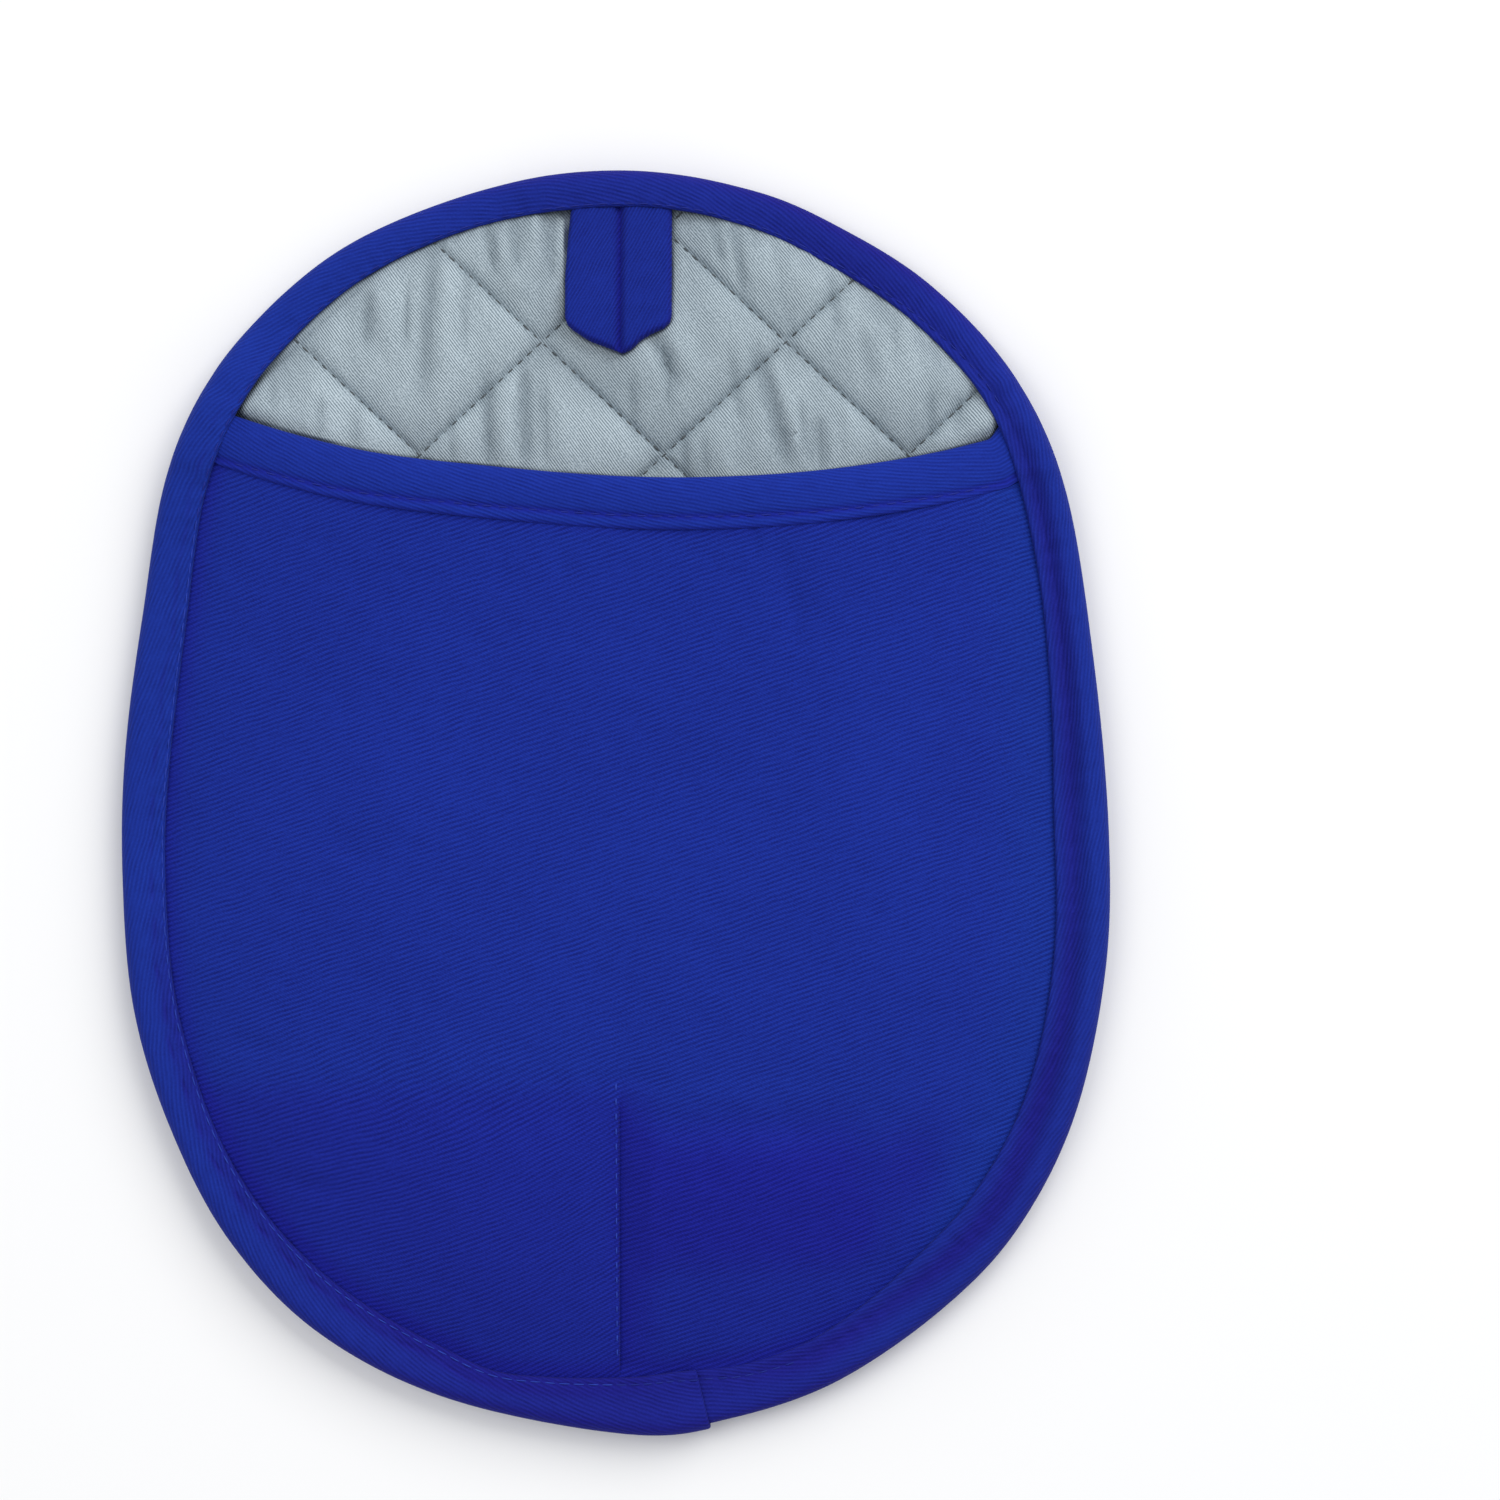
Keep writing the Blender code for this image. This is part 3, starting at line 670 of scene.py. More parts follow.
def dart_detail(x, y):
    """The dart's stitched edge, which lies over a crease on its right side."""
    scallop = DART_SCALLOP * (0.5 + 0.5 * np.sin(2 * math.pi * y / DART_PITCH))
    left = np.where(x <= DART_X + 0.01, np.exp(-(DART_X - x) / DART_STEP_FADE), 0.0)
    right = np.where(x > DART_X, np.exp(-(x - DART_X) / DART_CREASE_HALF), 0.0)
    return dart_down(y) * ((DART_STEP - scallop) * left - DART_CREASE * right)


def pocket_base(x, y):
    """Height of the pocket's outer side without its folds."""
    share = np.clip((past_binding(x, y) - LIP_GAP) / POCKET_REACH, 0, 1)
    rise = POCKET_RISE * (1 - (1 - share) ** 2)
    return POCKET_EDGE_TOP + mouth_lift(x, y) + rise * (1 - dart_share(x, y))


def pocket_free(x, y):
    """Share of their full height that the pocket's folds have."""
    return smooth_step(past_binding(x, y) / POCKET_FREE)


def pocket_top(x, y):
    past = past_binding(x, y)
    folds = pocket_free(x, y) * (folds_at(POCKET_FOLDS, x, y) + uneven("pocket", x, y))
    dart = smooth_step(past / DART_FREE) * dart_detail(x, y)
    pressed = POCKET_PRESS * smooth_step(-past / POCKET_PRESS_OVER)
    return pocket_base(x, y) + folds + dart - pressed


def patches_at(patches, x, y):
    """Painted shade of soft-edged patches, painted light where it is below 0."""
    tone = np.zeros(np.shape(x))
    for middle_x, middle_y, half_x, half_y, depth in patches:
        from_side = smooth_step((half_x - np.abs(x - middle_x)) / PAINTED_SHADE_SOFT + 0.5)
        from_end = smooth_step((half_y - np.abs(y - middle_y)) / PAINTED_SHADE_SOFT + 0.5)
        tone += depth * from_side * from_end
    return tone


def pocket_painted_shade(x, y):
    """Painted shade on the pocket, up to 1, and painted light below 0."""
    past = past_binding(x, y)
    right = ramp(x, 30, 70)
    left = ramp(x + 0.4 * y, 30, -30)
    lighter, reach = POCKET_RIGHT_PAINTED_LIGHT
    tone = patches_at(POCKET_PAINTED_SHADE, x, y)
    tone -= lighter * right * smooth_step(1 - past / reach)
    tone += left * painted_shade_line("pocket edge", past)
    tone += painted_shade_line("pocket mouth", mouth_y(x) - MOUTH_TAPE - y)
    tone += dart_down(y) * np.where(x > DART_X, painted_shade_line("dart", x - DART_X), 0.0)
    return np.clip(tone, PAINTED_SHADE_LEAST, 1)


def beyond(distance, end):
    """1 up to the end's level stretch, then falling to 0."""
    level, falling = end
    return 1 - smooth_step((distance - level) / falling)


def wrapped_top(x, y):
    """Height of what the edge binding's upper layer lies on: lining, pocket edge or strap."""
    pocket = POCKET_EDGE_TOP + mouth_lift(x, y) - LINING_EDGE_TOP
    pocket = pocket * beyond(y - mouth_y(x), POCKET_END)
    from_tape = np.abs(mouth_y(x) - MOUTH_TAPE / 2 - y) - MOUTH_TAPE / 2
    tape = MOUTH_UNDER * beyond(from_tape, MOUTH_END)
    strap = np.where(y > 0, GAP + STRAP_THICK, 0.0)
    strap = strap * beyond(np.abs(x - STRAP_X) - STRAP_LEG - STRAP_SLIT / 2, STRAP_END)
    return LINING_EDGE_TOP + np.maximum(pocket + tape, strap)


def pressed_top(x, y):
    """Height of the lining's envelope, which falls off towards the binding."""
    distances, pressed, free = np.array(LINING_PRESS).T
    past = past_binding(x, y)
    low = np.minimum(np.interp(past, distances, pressed), LINING_CROWN)
    high = np.minimum(np.interp(past, distances, free), LINING_CROWN)
    raised = wrapped_top(x, y) - LINING_EDGE_TOP
    high = np.minimum(high + raised * (1 - smooth_step(past / LINING_CORNER)), LINING_CROWN)
    above_mouth = ramp(y - mouth_y(x), *MOUTH_PRESS)
    beside_strap = ramp(np.abs(x - STRAP_X) - STRAP_LEG, *STRAP_PRESS)
    return low + above_mouth * beside_strap * (high - low)


def quilt_lines(x, y):
    """Place in the diamond lattice, whose sewn channels are at whole numbers."""
    across = (x - QUILT_CROSSING[0]) / QUILT_HALF[0]
    up = (y - QUILT_CROSSING[1]) / QUILT_HALF[1]
    return (across + up) / 2, (up - across) / 2


def quilt_place(u, v):
    x = QUILT_CROSSING[0] + (u - v) * QUILT_HALF[0]
    y = QUILT_CROSSING[1] + (u + v) * QUILT_HALF[1]
    return x, y


def from_channels(x, y):
    """Distances from the nearest sewn channel of either direction."""
    return [np.abs(line - np.round(line)) * QUILT_APART for line in quilt_lines(x, y)]


def hollows(x, y):
    """Upright hollows at the lattice's crossings, 0 to 1."""
    u, v = quilt_lines(x, y)
    near_x, near_y = quilt_place(np.round(u), np.round(v))
    half_x, half_y, _ = QUILT_HOLLOW
    return hump(x - near_x, half_x) * hump(y - near_y, half_y)


def wrinkles(x, y):
    return folds_at(LINING_FOLDS, x, y) + uneven("lining", x, y)


def lining_top(x, y):
    apart = from_channels(x, y)
    puff = (1 - np.exp(-apart[0] / QUILT_EASE)) * (1 - np.exp(-apart[1] / QUILT_EASE))
    loft = pressed_top(x, y) - LINING_EDGE_TOP
    crowned = loft * (QUILT_SEAM + (1 - QUILT_SEAM) * puff)
    notch = QUILT_NOTCH * hump(np.minimum(*apart), QUILT_NOTCH_HALF)
    hollow = QUILT_HOLLOW[2] * puff * hollows(x, y)
    wrinkled = (WRINKLE_LEAST + (1 - WRINKLE_LEAST) * puff) * wrinkles(x, y)
    return LINING_EDGE_TOP + crowned + np.clip(loft / LOFT_FULL, 0, 1) * (wrinkled - notch - hollow)


def lining_painted_shade(x, y):
    """Painted shade on the lining, up to 1: along its channels and edges, in its hollows and
    wrinkles, with painted light on their ridges.
    """
    past = past_binding(x, y)
    left = ramp(x, 25, -25)
    edges = painted_shade_line("lining edge", past) + painted_shade_line("lining edge", y - mouth_y(x))
    tone = painted_shade_line("channel", np.minimum(*from_channels(x, y))) + HOLLOW_PAINTED_SHADE * hollows(x, y)
    tone += left * edges + painted_shade_line("lining border", past)
    tone -= WRINKLE_PAINTED_SHADING * wrinkles(x, y) + LINING_FOLD_PAINTED_SHADING * folds_at(LINING_FOLDS, x, y)
    return np.clip(np.clip(tone, 0, 1) + patches_at(LINING_PAINTED_SHADE, x, y), PAINTED_SHADE_LEAST, 1)


def past_strap(x, y):
    """Distance out from the strap's sides and its folded end."""
    end_x, end_y = np.array(STRAP_END_LINE).T
    beside = np.maximum(end_x[0] - x, x - end_x[-1])
    return np.maximum(beside, np.interp(x, end_x, end_y) - y)


def lining_rim(x, y):
    """Distance from what lies on the lining, for its painted gap shadow: the edge binding, the
    mouth and the strap.
    """
    past_mouth = y - mouth_y(x) - RIM_MOUTH
    bound = np.minimum(past_binding(x, y), past_mouth) + RIM_RIGHT * ramp(x, -25, 25)
    return np.minimum(bound, past_strap(x, y))


# Materials


class Surface:
    """A Principled material and the nodes that feed it."""

    def __init__(self, name, **sockets):
        self.material = bpy.data.materials.new(name)
        self.material.use_nodes = True
        self.tree = self.material.node_tree
        self.shader = self.tree.nodes["Principled BSDF"]
        for socket, value in sockets.items():
            self.shader.inputs[socket.replace("_", " ")].default_value = value

    def node(self, kind, inputs, **settings):
        made = self.tree.nodes.new(kind)
        for key, value in settings.items():
            setattr(made, key, value)
        for key, value in inputs.items():
            if isinstance(value, bpy.types.NodeSocket):
                self.tree.links.new(value, made.inputs[key])
            else:
                made.inputs[key].default_value = value
        return made

    def math(self, operation, a, b=0.0):
        return self.node("ShaderNodeMath", {0: a, 1: b}, operation=operation).outputs[0]

    def total(self, *terms):
        """Sum of sockets, each times its number."""
        result = None
        for socket, share in terms:
            part = self.math("MULTIPLY", socket, share)
            result = part if result is None else self.math("ADD", result, part)
        return result

    def wave(self, place, length):
        """A sine from 0 to 1 along one coordinate."""
        turned = self.math("SINE", self.math("MULTIPLY", place, 2 * math.pi / length))
        return self.math("ADD", self.math("MULTIPLY", turned, 0.5), 0.5)

    def noise(self, vector, scale, detail=2.0):
        made = self.node("ShaderNodeTexNoise", {"Vector": vector, "Scale": scale, "Detail": detail})
        return made.outputs[0]

    def mapped(self, vector, angle=0.0, scale=(1, 1, 1)):
        turned = {"Vector": vector, "Rotation": (0, 0, math.radians(angle)), "Scale": scale}
        return self.node("ShaderNodeMapping", turned).outputs[0]

    def mix(self, share, a, b, **settings):
        inputs = {"Factor": share, 6: a, 7: b}
        return self.node("ShaderNodeMix", inputs, data_type="RGBA", **settings).outputs[2]

    def cloth(self, angle=0.0):
        """The piece's own cloth coordinates in millimetres, turned, and its tone, which carries the
        painted shade.
        """
        found = self.node("ShaderNodeAttribute", {}, attribute_name="cloth").outputs["Vector"]
        tone = self.node("ShaderNodeSeparateXYZ", {0: found}).outputs[2]
        return self.mapped(found, angle, (1, 1, 0)), tone

    def rim(self, reach):
        """Painted shadow in the gap where another piece's edge lies on this one: 1 there, 0 this
        far from it, uneven along it.
        """
        away = self.node("ShaderNodeAttribute", {}, attribute_name="rim").outputs["Fac"]
        ends = {"Value": away, "From Min": reach, "From Max": 0.0}
        near = self.node("ShaderNodeMapRange", ends, interpolation_type="SMOOTHSTEP").outputs[0]
        broken = self.noise(self.cloth()[0], 0.12)
        return self.math("MULTIPLY", near, self.math("MULTIPLY", broken, 1.7))

    def finish(self, base, height, depth):
        self.tree.links.new(base, self.shader.inputs["Base Color"])
        inputs = {"Height": height, "Distance": depth * MM, "Strength": 1.0}
        bump = self.node("ShaderNodeBump", inputs)
        self.tree.links.new(bump.outputs[0], self.shader.inputs["Normal"])
        return self.material


def colour(red, green, blue):
    """Linear light from the usual 0 to 255."""
    parts = []
    for value in (red, green, blue):
        value /= 255
        parts.append(value / 12.92 if value <= 0.04045 else ((value + 0.055) / 1.055) ** 2.4)
    return (*parts, 1.0)


def twill(name, angle, pitch, colours, wale, grain, depth, floats=(0.1, 1.25), rim=0.0, **sockets):
    """Diagonal wales of floats, uneven from yarn to yarn.

    The wales rise at this angle. floats has their share of the colour and their length in pitches.
    rim is how far the painted shadow in the gap beside the pieces on top reaches.
    """
    surface = Surface(name, **sockets)
    cloth, tone = surface.cloth(-angle)
    drift = surface.noise(cloth, 0.09)
    parts = surface.node("ShaderNodeSeparateXYZ", {0: cloth}).outputs
    across = surface.total((parts[1], 1.0), (drift, 1.2))
    patches = surface.noise(cloth, 0.3, 3.0)
    strength = surface.math("SUBTRACT", surface.math("MULTIPLY", patches, 2.4), 0.2)
    ridges = surface.math("SUBTRACT", surface.wave(across, pitch), 0.5)
    ridges = surface.math("ADD", surface.math("MULTIPLY", ridges, strength), 0.5)
    float_share, float_length = floats
    steps = surface.wave(surface.total((parts[0], 1.0), (across, 0.8)), pitch * float_length)
    steps = surface.math("MULTIPLY", steps, ridges)
    yarn = surface.noise(surface.mapped(cloth, 0, (0.3, 1.5, 1)), 1.0)
    fuzz = surface.noise(cloth, 2.6, 3.0)
    cloud = surface.noise(cloth, 0.03, 3.0)
    height = surface.total((ridges, 0.5), (steps, 0.2), (yarn, 0.3), (fuzz, 0.25))
    share = surface.total(
        (ridges, wale), (steps, float_share), (yarn, 0.5), (fuzz, grain), (cloud, 0.35)
    )
    # brings its mean to a half
    share = surface.math("SUBTRACT", share, 0.5 * (wale + grain) + 0.25 * float_share - 0.075)
    dark, light, deep_and_shade = colours
    base = surface.mix(share, dark, light)
    # painted shade: the tone multiplies the colour by the cloth's shade colour
    base = surface.mix(tone, base, deep_and_shade, blend_type="MULTIPLY", clamp_factor=False)
    # painted shadow in the gaps beside the pieces on top
    if rim:
        base = surface.mix(surface.rim(rim), base, RIM_SHADE, blend_type="MULTIPLY")
    return surface.finish(base, height, depth)


def canvas(name):
    """Coarse plain weave on the bias, with light specks on its yarns."""
    surface = Surface(name, Roughness=0.85, Specular_IOR_Level=0.15)
    cloth, _ = surface.cloth()
    parts = surface.node("ShaderNodeSeparateXYZ", {0: cloth}).outputs
    pitch = 0.57
    warp = surface.wave(parts[0], 2 * pitch)
    weft = surface.wave(parts[1], 2 * pitch)
    over = surface.math("MULTIPLY", surface.total((warp, 2.0)), weft)
    under = surface.total((surface.math("SUBTRACT", 1.0, warp), 2.0))
    other = surface.math("MULTIPLY", under, surface.math("SUBTRACT", 1.0, weft))
    knots = surface.math("MAXIMUM", over, other)
    ends = {"Value": surface.noise(cloth, 1.6, 3.0), "From Min": 0.5, "From Max": 0.72}
    speck = surface.math("MULTIPLY", surface.node("ShaderNodeMapRange", ends).outputs[0], knots)
    share = surface.total((knots, 0.3), (surface.noise(cloth, 0.2), 0.5))
    base = surface.mix(share, colour(16, 22, 96), colour(32, 46, 156))
    base = surface.mix(speck, base, colour(80, 112, 208))
    return surface.finish(base, knots, 0.2)


def silicone(name):
    surface = Surface(name, Roughness=0.42, Specular_IOR_Level=0.35)
    place = surface.node("ShaderNodeTexCoord", {}).outputs["Object"]
    cloud = surface.noise(place, 60.0, 3.0)
    grain = surface.noise(place, 3200.0)
    share = surface.total((cloud, 0.8), (grain, 0.2))
    base = surface.mix(share, colour(12, 26, 122), colour(20, 42, 150))
    return surface.finish(base, grain, 0.02)


def thread(name, dark, light):
    surface = Surface(name, Roughness=0.7, Specular_IOR_Level=0.2)
    place = surface.node("ShaderNodeTexCoord", {}).outputs["Object"]
    lay = surface.noise(place, 900.0)
    fibre = surface.noise(place, 6000.0)
    share = surface.total((lay, 1.2), (fibre, 0.4))
    return surface.finish(surface.mix(share, dark, light), fibre, 0.05)


BLUE_DEEP_AND_SHADE = (1.08, 0.54, 0.94, 1.0)
# colour of the painted shadow in the gaps beside the pieces on top
RIM_SHADE = (0.1, 0.12, 0.2, 1.0)
BLUE_CLOTH = {
    "Roughness": 0.9,
    "Specular_IOR_Level": 0.1,
    "Sheen_Weight": 0.02,
    "Sheen_Roughness": 0.5,
}
GREY_CLOTH = {"Roughness": 0.7, "Specular_IOR_Level": 0.3, "Sheen_Weight": 0.03}

# Each cloth's dark and light yarn, and what its colour is multiplied by where shade is painted
POCKET_BLUES = (colour(16, 29, 113), colour(26, 50, 155), BLUE_DEEP_AND_SHADE)
EDGE_BLUES = (colour(16, 32, 114), colour(27, 55, 158), (1.25, 0.42, 0.78, 1.0))
MOUTH_BLUES = (colour(16, 32, 117), colour(27, 53, 159), BLUE_DEEP_AND_SHADE)
STRAP_BLUES = (colour(15, 29, 108), colour(25, 50, 148), BLUE_DEEP_AND_SHADE)
GREYS = (colour(114, 129, 138), colour(190, 204, 212), (0.62, 0.64, 0.66, 1.0))

pocket_twill = twill(
    "blue twill pocket", 20, 0.82, POCKET_BLUES, 0.34, 1.25, 0.08, floats=(0.6, 0.6), **BLUE_CLOTH
)
edge_twill = twill("blue twill edge tape", -15, 0.74, EDGE_BLUES, 0.35, 0.7, 0.11, **BLUE_CLOTH)
mouth_twill = twill("blue twill mouth tape", -14, 0.68, MOUTH_BLUES, 0.4, 0.7, 0.09, **BLUE_CLOTH)
strap_twill = twill("blue twill strap", 62, 0.56, STRAP_BLUES, 0.5, 0.9, 0.12, **BLUE_CLOTH)
lining_twill = twill("grey lining twill", -52, 0.44, GREYS, 1.1, 1.6, 0.07, rim=0.7, **GREY_CLOTH)
back_canvas = canvas("blue canvas")
blue_silicone = silicone("blue silicone")
grey_thread = thread("grey thread", colour(40, 44, 48), colour(84, 90, 94))
# A lit and a shaded copy of the blue thread: painted highlight and painted shade
lit_blue_thread = thread("blue thread", colour(22, 38, 128), colour(40, 64, 168))
shaded_blue_thread = thread("shaded blue thread", colour(18, 28, 108), colour(30, 44, 140))
back_thread = thread("back thread", colour(40, 56, 150), colour(110, 136, 214))


# Meshes


def grid_quads(rows, columns, wrap=False, close=False):
    """Corner numbers of a grid's faces. wrap joins its last column to its first, close its rows."""
    index = np.arange(rows * columns).reshape(rows, columns)
    if wrap:
        index = np.hstack((index, index[:, :1]))
    if close:
        index = np.vstack((index, index[:1]))
    corners = (index[:-1, :-1], index[:-1, 1:], index[1:, 1:], index[1:, :-1])
    return np.stack(corners, axis=-1).reshape(-1, 4)


def repeated(faces, corners, copies):
    """The same faces for each of many copies with so many corners."""
    offsets = corners * np.arange(copies)[:, None, None]
    return (faces + offsets).reshape(-1, faces.shape[1]).tolist()


def shell_faces(rows, columns):
    """Two stacked grids and the walls that join their rims."""
    count = rows * columns
    upper = grid_quads(rows, columns)
    index = np.arange(count).reshape(rows, columns)
    rim = np.concatenate((index[0, :-1], index[:-1, -1], index[-1, :0:-1], index[:0:-1, 0]))
    after = np.roll(rim, -1)
    walls = np.stack((after, rim, rim + count, after + count), axis=-1)
    return [*upper.tolist(), *(upper[:, ::-1] + count).tolist(), *walls.tolist()]


def stacked(x, y, z):
    return np.stack(np.broadcast_arrays(x, y, z), axis=-1).reshape(-1, 3)


def piece(name, points, faces, surfaces, cloth=None, second=None):
    """A smooth mesh in metres from points in millimetres. second marks faces of another surface."""
    mesh = bpy.data.meshes.new(name)
    mesh.from_pydata((points * MM).tolist(), [], faces)
    for surface in surfaces:
        mesh.materials.append(surface)
    if second is not None:
        mesh.polygons.foreach_set("material_index", np.asarray(second, dtype=np.int32))
    if cloth is not None:
        place = np.zeros((len(points), 3), np.float32)
        place[:, : cloth.shape[1]] = cloth
        attribute = mesh.attributes.new("cloth", "FLOAT_VECTOR", "POINT")
        attribute.data.foreach_set("vector", place.ravel())
    bm = bmesh.new()
    bm.from_mesh(mesh)
    bmesh.ops.recalc_face_normals(bm, faces=bm.faces)
    bm.to_mesh(mesh)
    bm.free()
    mesh.shade_smooth()
    mesh.set_sharp_from_angle(angle=math.radians(SHARP))
    made = bpy.data.objects.new(name, mesh)
    bpy.context.scene.collection.objects.link(made)
    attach(made, "root")
    return made


def tube_piece(name, rings, surfaces, travelled, tone, columns_second=0):
    """A closed band of sections with capped ends. rings is stations by section points by xyz."""
    stations, count = rings.shape[:2]
    quads = grid_quads(stations, count, wrap=True)
    caps = [list(range(count)), list(range((stations - 1) * count, stations * count))]
    second = np.zeros(len(quads) + len(caps), np.int32)
    second[: len(quads)] = np.tile(np.arange(count) < columns_second, stations - 1)
    cloth = stacked(travelled, across_distance(rings), tone)
    return piece(name, rings.reshape(-1, 3), [*quads.tolist(), *caps], surfaces, cloth, second)


def closed_sections(outer, inner):
    """Rings along a binding's outer side and back along its inner one."""
    inner = np.stack(inner, axis=-1)[:, ::-INNER_EVERY]
    return np.concatenate((np.stack(outer, axis=-1), inner), axis=1)


def across_distance(points):
    """Distance along each section, from its first point."""
    steps = np.linalg.norm(np.diff(points, axis=1), axis=2)
    return np.concatenate((np.zeros((len(points), 1)), np.cumsum(steps, axis=1)), axis=1)


def stitches(name, starts, ends, radius, surface, arch=0.15, side=1.0):
    """Short threads, each arched out of the cloth and back into it, as one mesh."""
    t = np.linspace(0, 1, 6)
    turn = np.linspace(0, 2 * math.pi, 6, endpoint=False)[:, None]
    thick = radius * np.array((0.45, 0.9, 1.0, 1.0, 0.9, 0.45))
    run = ends - starts
    ahead = run / np.linalg.norm(run, axis=1, keepdims=True)
    beside = np.cross(ahead, (0.0, 0.0, side))
    beside /= np.linalg.norm(beside, axis=1, keepdims=True)
    out = np.cross(beside, ahead)
    arched = arch * (1 - (2 * t - 1) ** 2) - arch / 2
    middle = starts[:, None] + t[:, None] * run[:, None] + arched[:, None] * out[:, None]
    ring = np.cos(turn) * beside[:, None, None] + np.sin(turn) * out[:, None, None]
    points = middle[:, :, None] + thick[:, None, None] * ring
    corners = len(t) * len(turn)
    first_end = np.arange(len(turn))[None]
    caps = (first_end, first_end + corners - len(turn))
    faces = []
    for part in (grid_quads(len(t), len(turn), wrap=True), *caps):
        faces += repeated(part, corners, len(starts))
    return piece(name, points.reshape(-1, 3), faces, [surface])


def pocket():
    """A domed sheet from under the edge binding to the mouth, with a column along the dart."""
    rows, side_columns = 170, 90
    tucked, low = 3.5, -110.5  # its sides, in from the finished edge, and its lower end
    near, far = 0.3, 0.7  # the columns lie closer at the dart
    t = np.linspace(-1, 1, 2 * side_columns + 1)
    across = np.sign(t) * (near * np.abs(t) + far * t * t)
    share = np.linspace(0, 1, rows)[:, None]
    y = low + (mouth_y(DART_X) - low) * share + 0 * across
    for _ in range(SETTLING):
        left, right = outline.sides(y, tucked)
        x = DART_X + across * np.where(across < 0, DART_X - left, right - DART_X)
        y = low + (mouth_y(x) - MOUTH_CUT - low) * share
    top = pocket_top(x, y)
    points = np.vstack((stacked(x, y, top), stacked(x, y, top - POCKET_THICK)))
    left_of_dart = np.minimum(x - DART_X, 0)
    beside_dart = ramp(y, DART_TOP + 10, DART_TOP - 15) * hump(left_of_dart, DART_LEAN_HALF)
    woven_y = y - DART_LEAN * beside_dart * left_of_dart
    # the pocket's painted shade and light ride in its cloth attribute
    cloth = np.tile(stacked(x, woven_y, pocket_painted_shade(x, y)), (2, 1))
    made = piece("pocket_cloth", points, shell_faces(*x.shape), [pocket_twill], cloth)
    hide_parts("pocket")
    return made


def dart_stitches():
    length = 1.2
    beside = 0.35
    y = np.arange(DART_TOP - 0.5, DART_END, -DART_PITCH)
    x = np.full(y.shape, DART_X - beside)
    starts, ends = (stacked(x, at, pocket_top(x, at) + THREAD_LIFT) for at in (y, y - length))
    made = stitches("dart_thread", starts, ends, 0.15, lit_blue_thread)


def mouth_section():
    """The mouth binding's outer side: distance into the pocket, and which way it faces."""
    bend_end = 1.4
    lip = MOUTH_TAPE - np.array((0.0, 0.06, 0.15, 0.3, 0.5, 0.8))
    front = np.concatenate((lip, np.linspace(7.9, bend_end, 22)))
    turn = np.radians(np.linspace(80, -80, 13))
    behind = np.linspace(bend_end, MOUTH_TAPE, 8)
    into = np.concatenate((front, MOUTH_CUT - MOUTH_BEND * np.cos(turn), behind))
    return into, np.concatenate((np.full(len(front), UP), turn, np.full(len(behind), -UP)))


def mouth_seam(x):
    ends, middle = MOUTH_SEAM
    return ends + (middle - ends) * (1 - np.minimum(np.abs(x) / MOUTH_HALF, 1) ** 2)


def mouth_height(x, into, facing, travelled):
    """Height of the mouth binding's outer side over the pocket's outer side."""
    edge = MOUTH_TAPE - into
    seam = mouth_seam(x)
    crown = MOUTH_CROWN * np.sin(math.pi * np.clip((edge - seam) / (MOUTH_TAPE - seam), 0, 1))
    groove = MOUTH_GROOVE * hump(edge - seam, MOUTH_GROOVE_HALF)
    ripple = uneven("mouth", travelled) * smooth_step(into / MOUTH_CALM) * smooth_step(edge)
    round_in = np.clip(1 - edge / MOUTH_ROUND, 0, 1)
    rounded = (MOUTH_OVER - MOUTH_EDGE) * (1 - np.sqrt(1 - round_in**2))
    top = MOUTH_OVER + crown - groove + ripple - rounded
    bottom = -POCKET_THICK - GAP - MOUTH_THICK
    middle = (MOUTH_OVER + bottom) / 2
    fold = middle + (MOUTH_OVER - middle) * np.sin(facing)
    return np.where(facing > FLAT, top, np.where(facing < -FLAT, bottom, fold))


def mouth_row():
    """x of the mouth binding's stations, from under the edge binding to under it again."""
    x = np.linspace(-78, 78, 3121)
    free = x[past_binding(x, mouth_y(x) - MOUTH_TAPE / 2) > -MOUTH_ENDS]
    return np.linspace(free[0], free[-1], 260)


def binding_underside(x, y):
    """Height of the edge binding's underside."""
    width, valley, seam = (by_direction(column, x, y) for column in (WIDTH, VALLEY, SEAM))
    valley = valley * hump(width - outline.inside(x, y) - seam, VALLEY_HALF)
    return wrapped_top(x, y) + GAP + BINDING_SLACK + BINDING_LIP - BINDING_THICK - valley


def mouth_binding():
    x = mouth_row()[:, None]
    travelled = np.cumsum(np.hypot(np.gradient(x[:, 0]), np.gradient(mouth_y(x[:, 0]))))[:, None]
    into, facing = mouth_section()
    px, py = below_mouth(x, into)
    on_pocket = below_mouth(x, np.maximum(into, 0.0))
    folds = 0.5 * pocket_free(*on_pocket) * folds_at(POCKET_FOLDS, *on_pocket)
    outer = pocket_base(*on_pocket) + folds + mouth_height(x, into, facing, travelled)
    tucked = ramp(past_binding(px, py), *MOUTH_DIP)
    roof = binding_underside(px, py) - MOUTH_CLEAR
    outer = np.where(facing > 0, outer + tucked * np.minimum(roof - outer, 0), outer)
    inner_x, inner_y = below_mouth(x, into + MOUTH_THICK * np.cos(facing))
    inner = outer - MOUTH_THICK * np.sin(facing)
    rings = closed_sections((px, py, outer), (inner_x, inner_y, inner))
    edge = MOUTH_TAPE - np.concatenate((into, into[::-INNER_EVERY]))
    # painted shade along the mouth seam and the lower edge
    tone = painted_shade_line("mouth seam", edge - mouth_seam(x)) + painted_shade_line("mouth edge", edge)
    made = tube_piece("mouth_tape", rings, [mouth_twill], travelled, tone)
    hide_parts("pocket_binding")
    return made


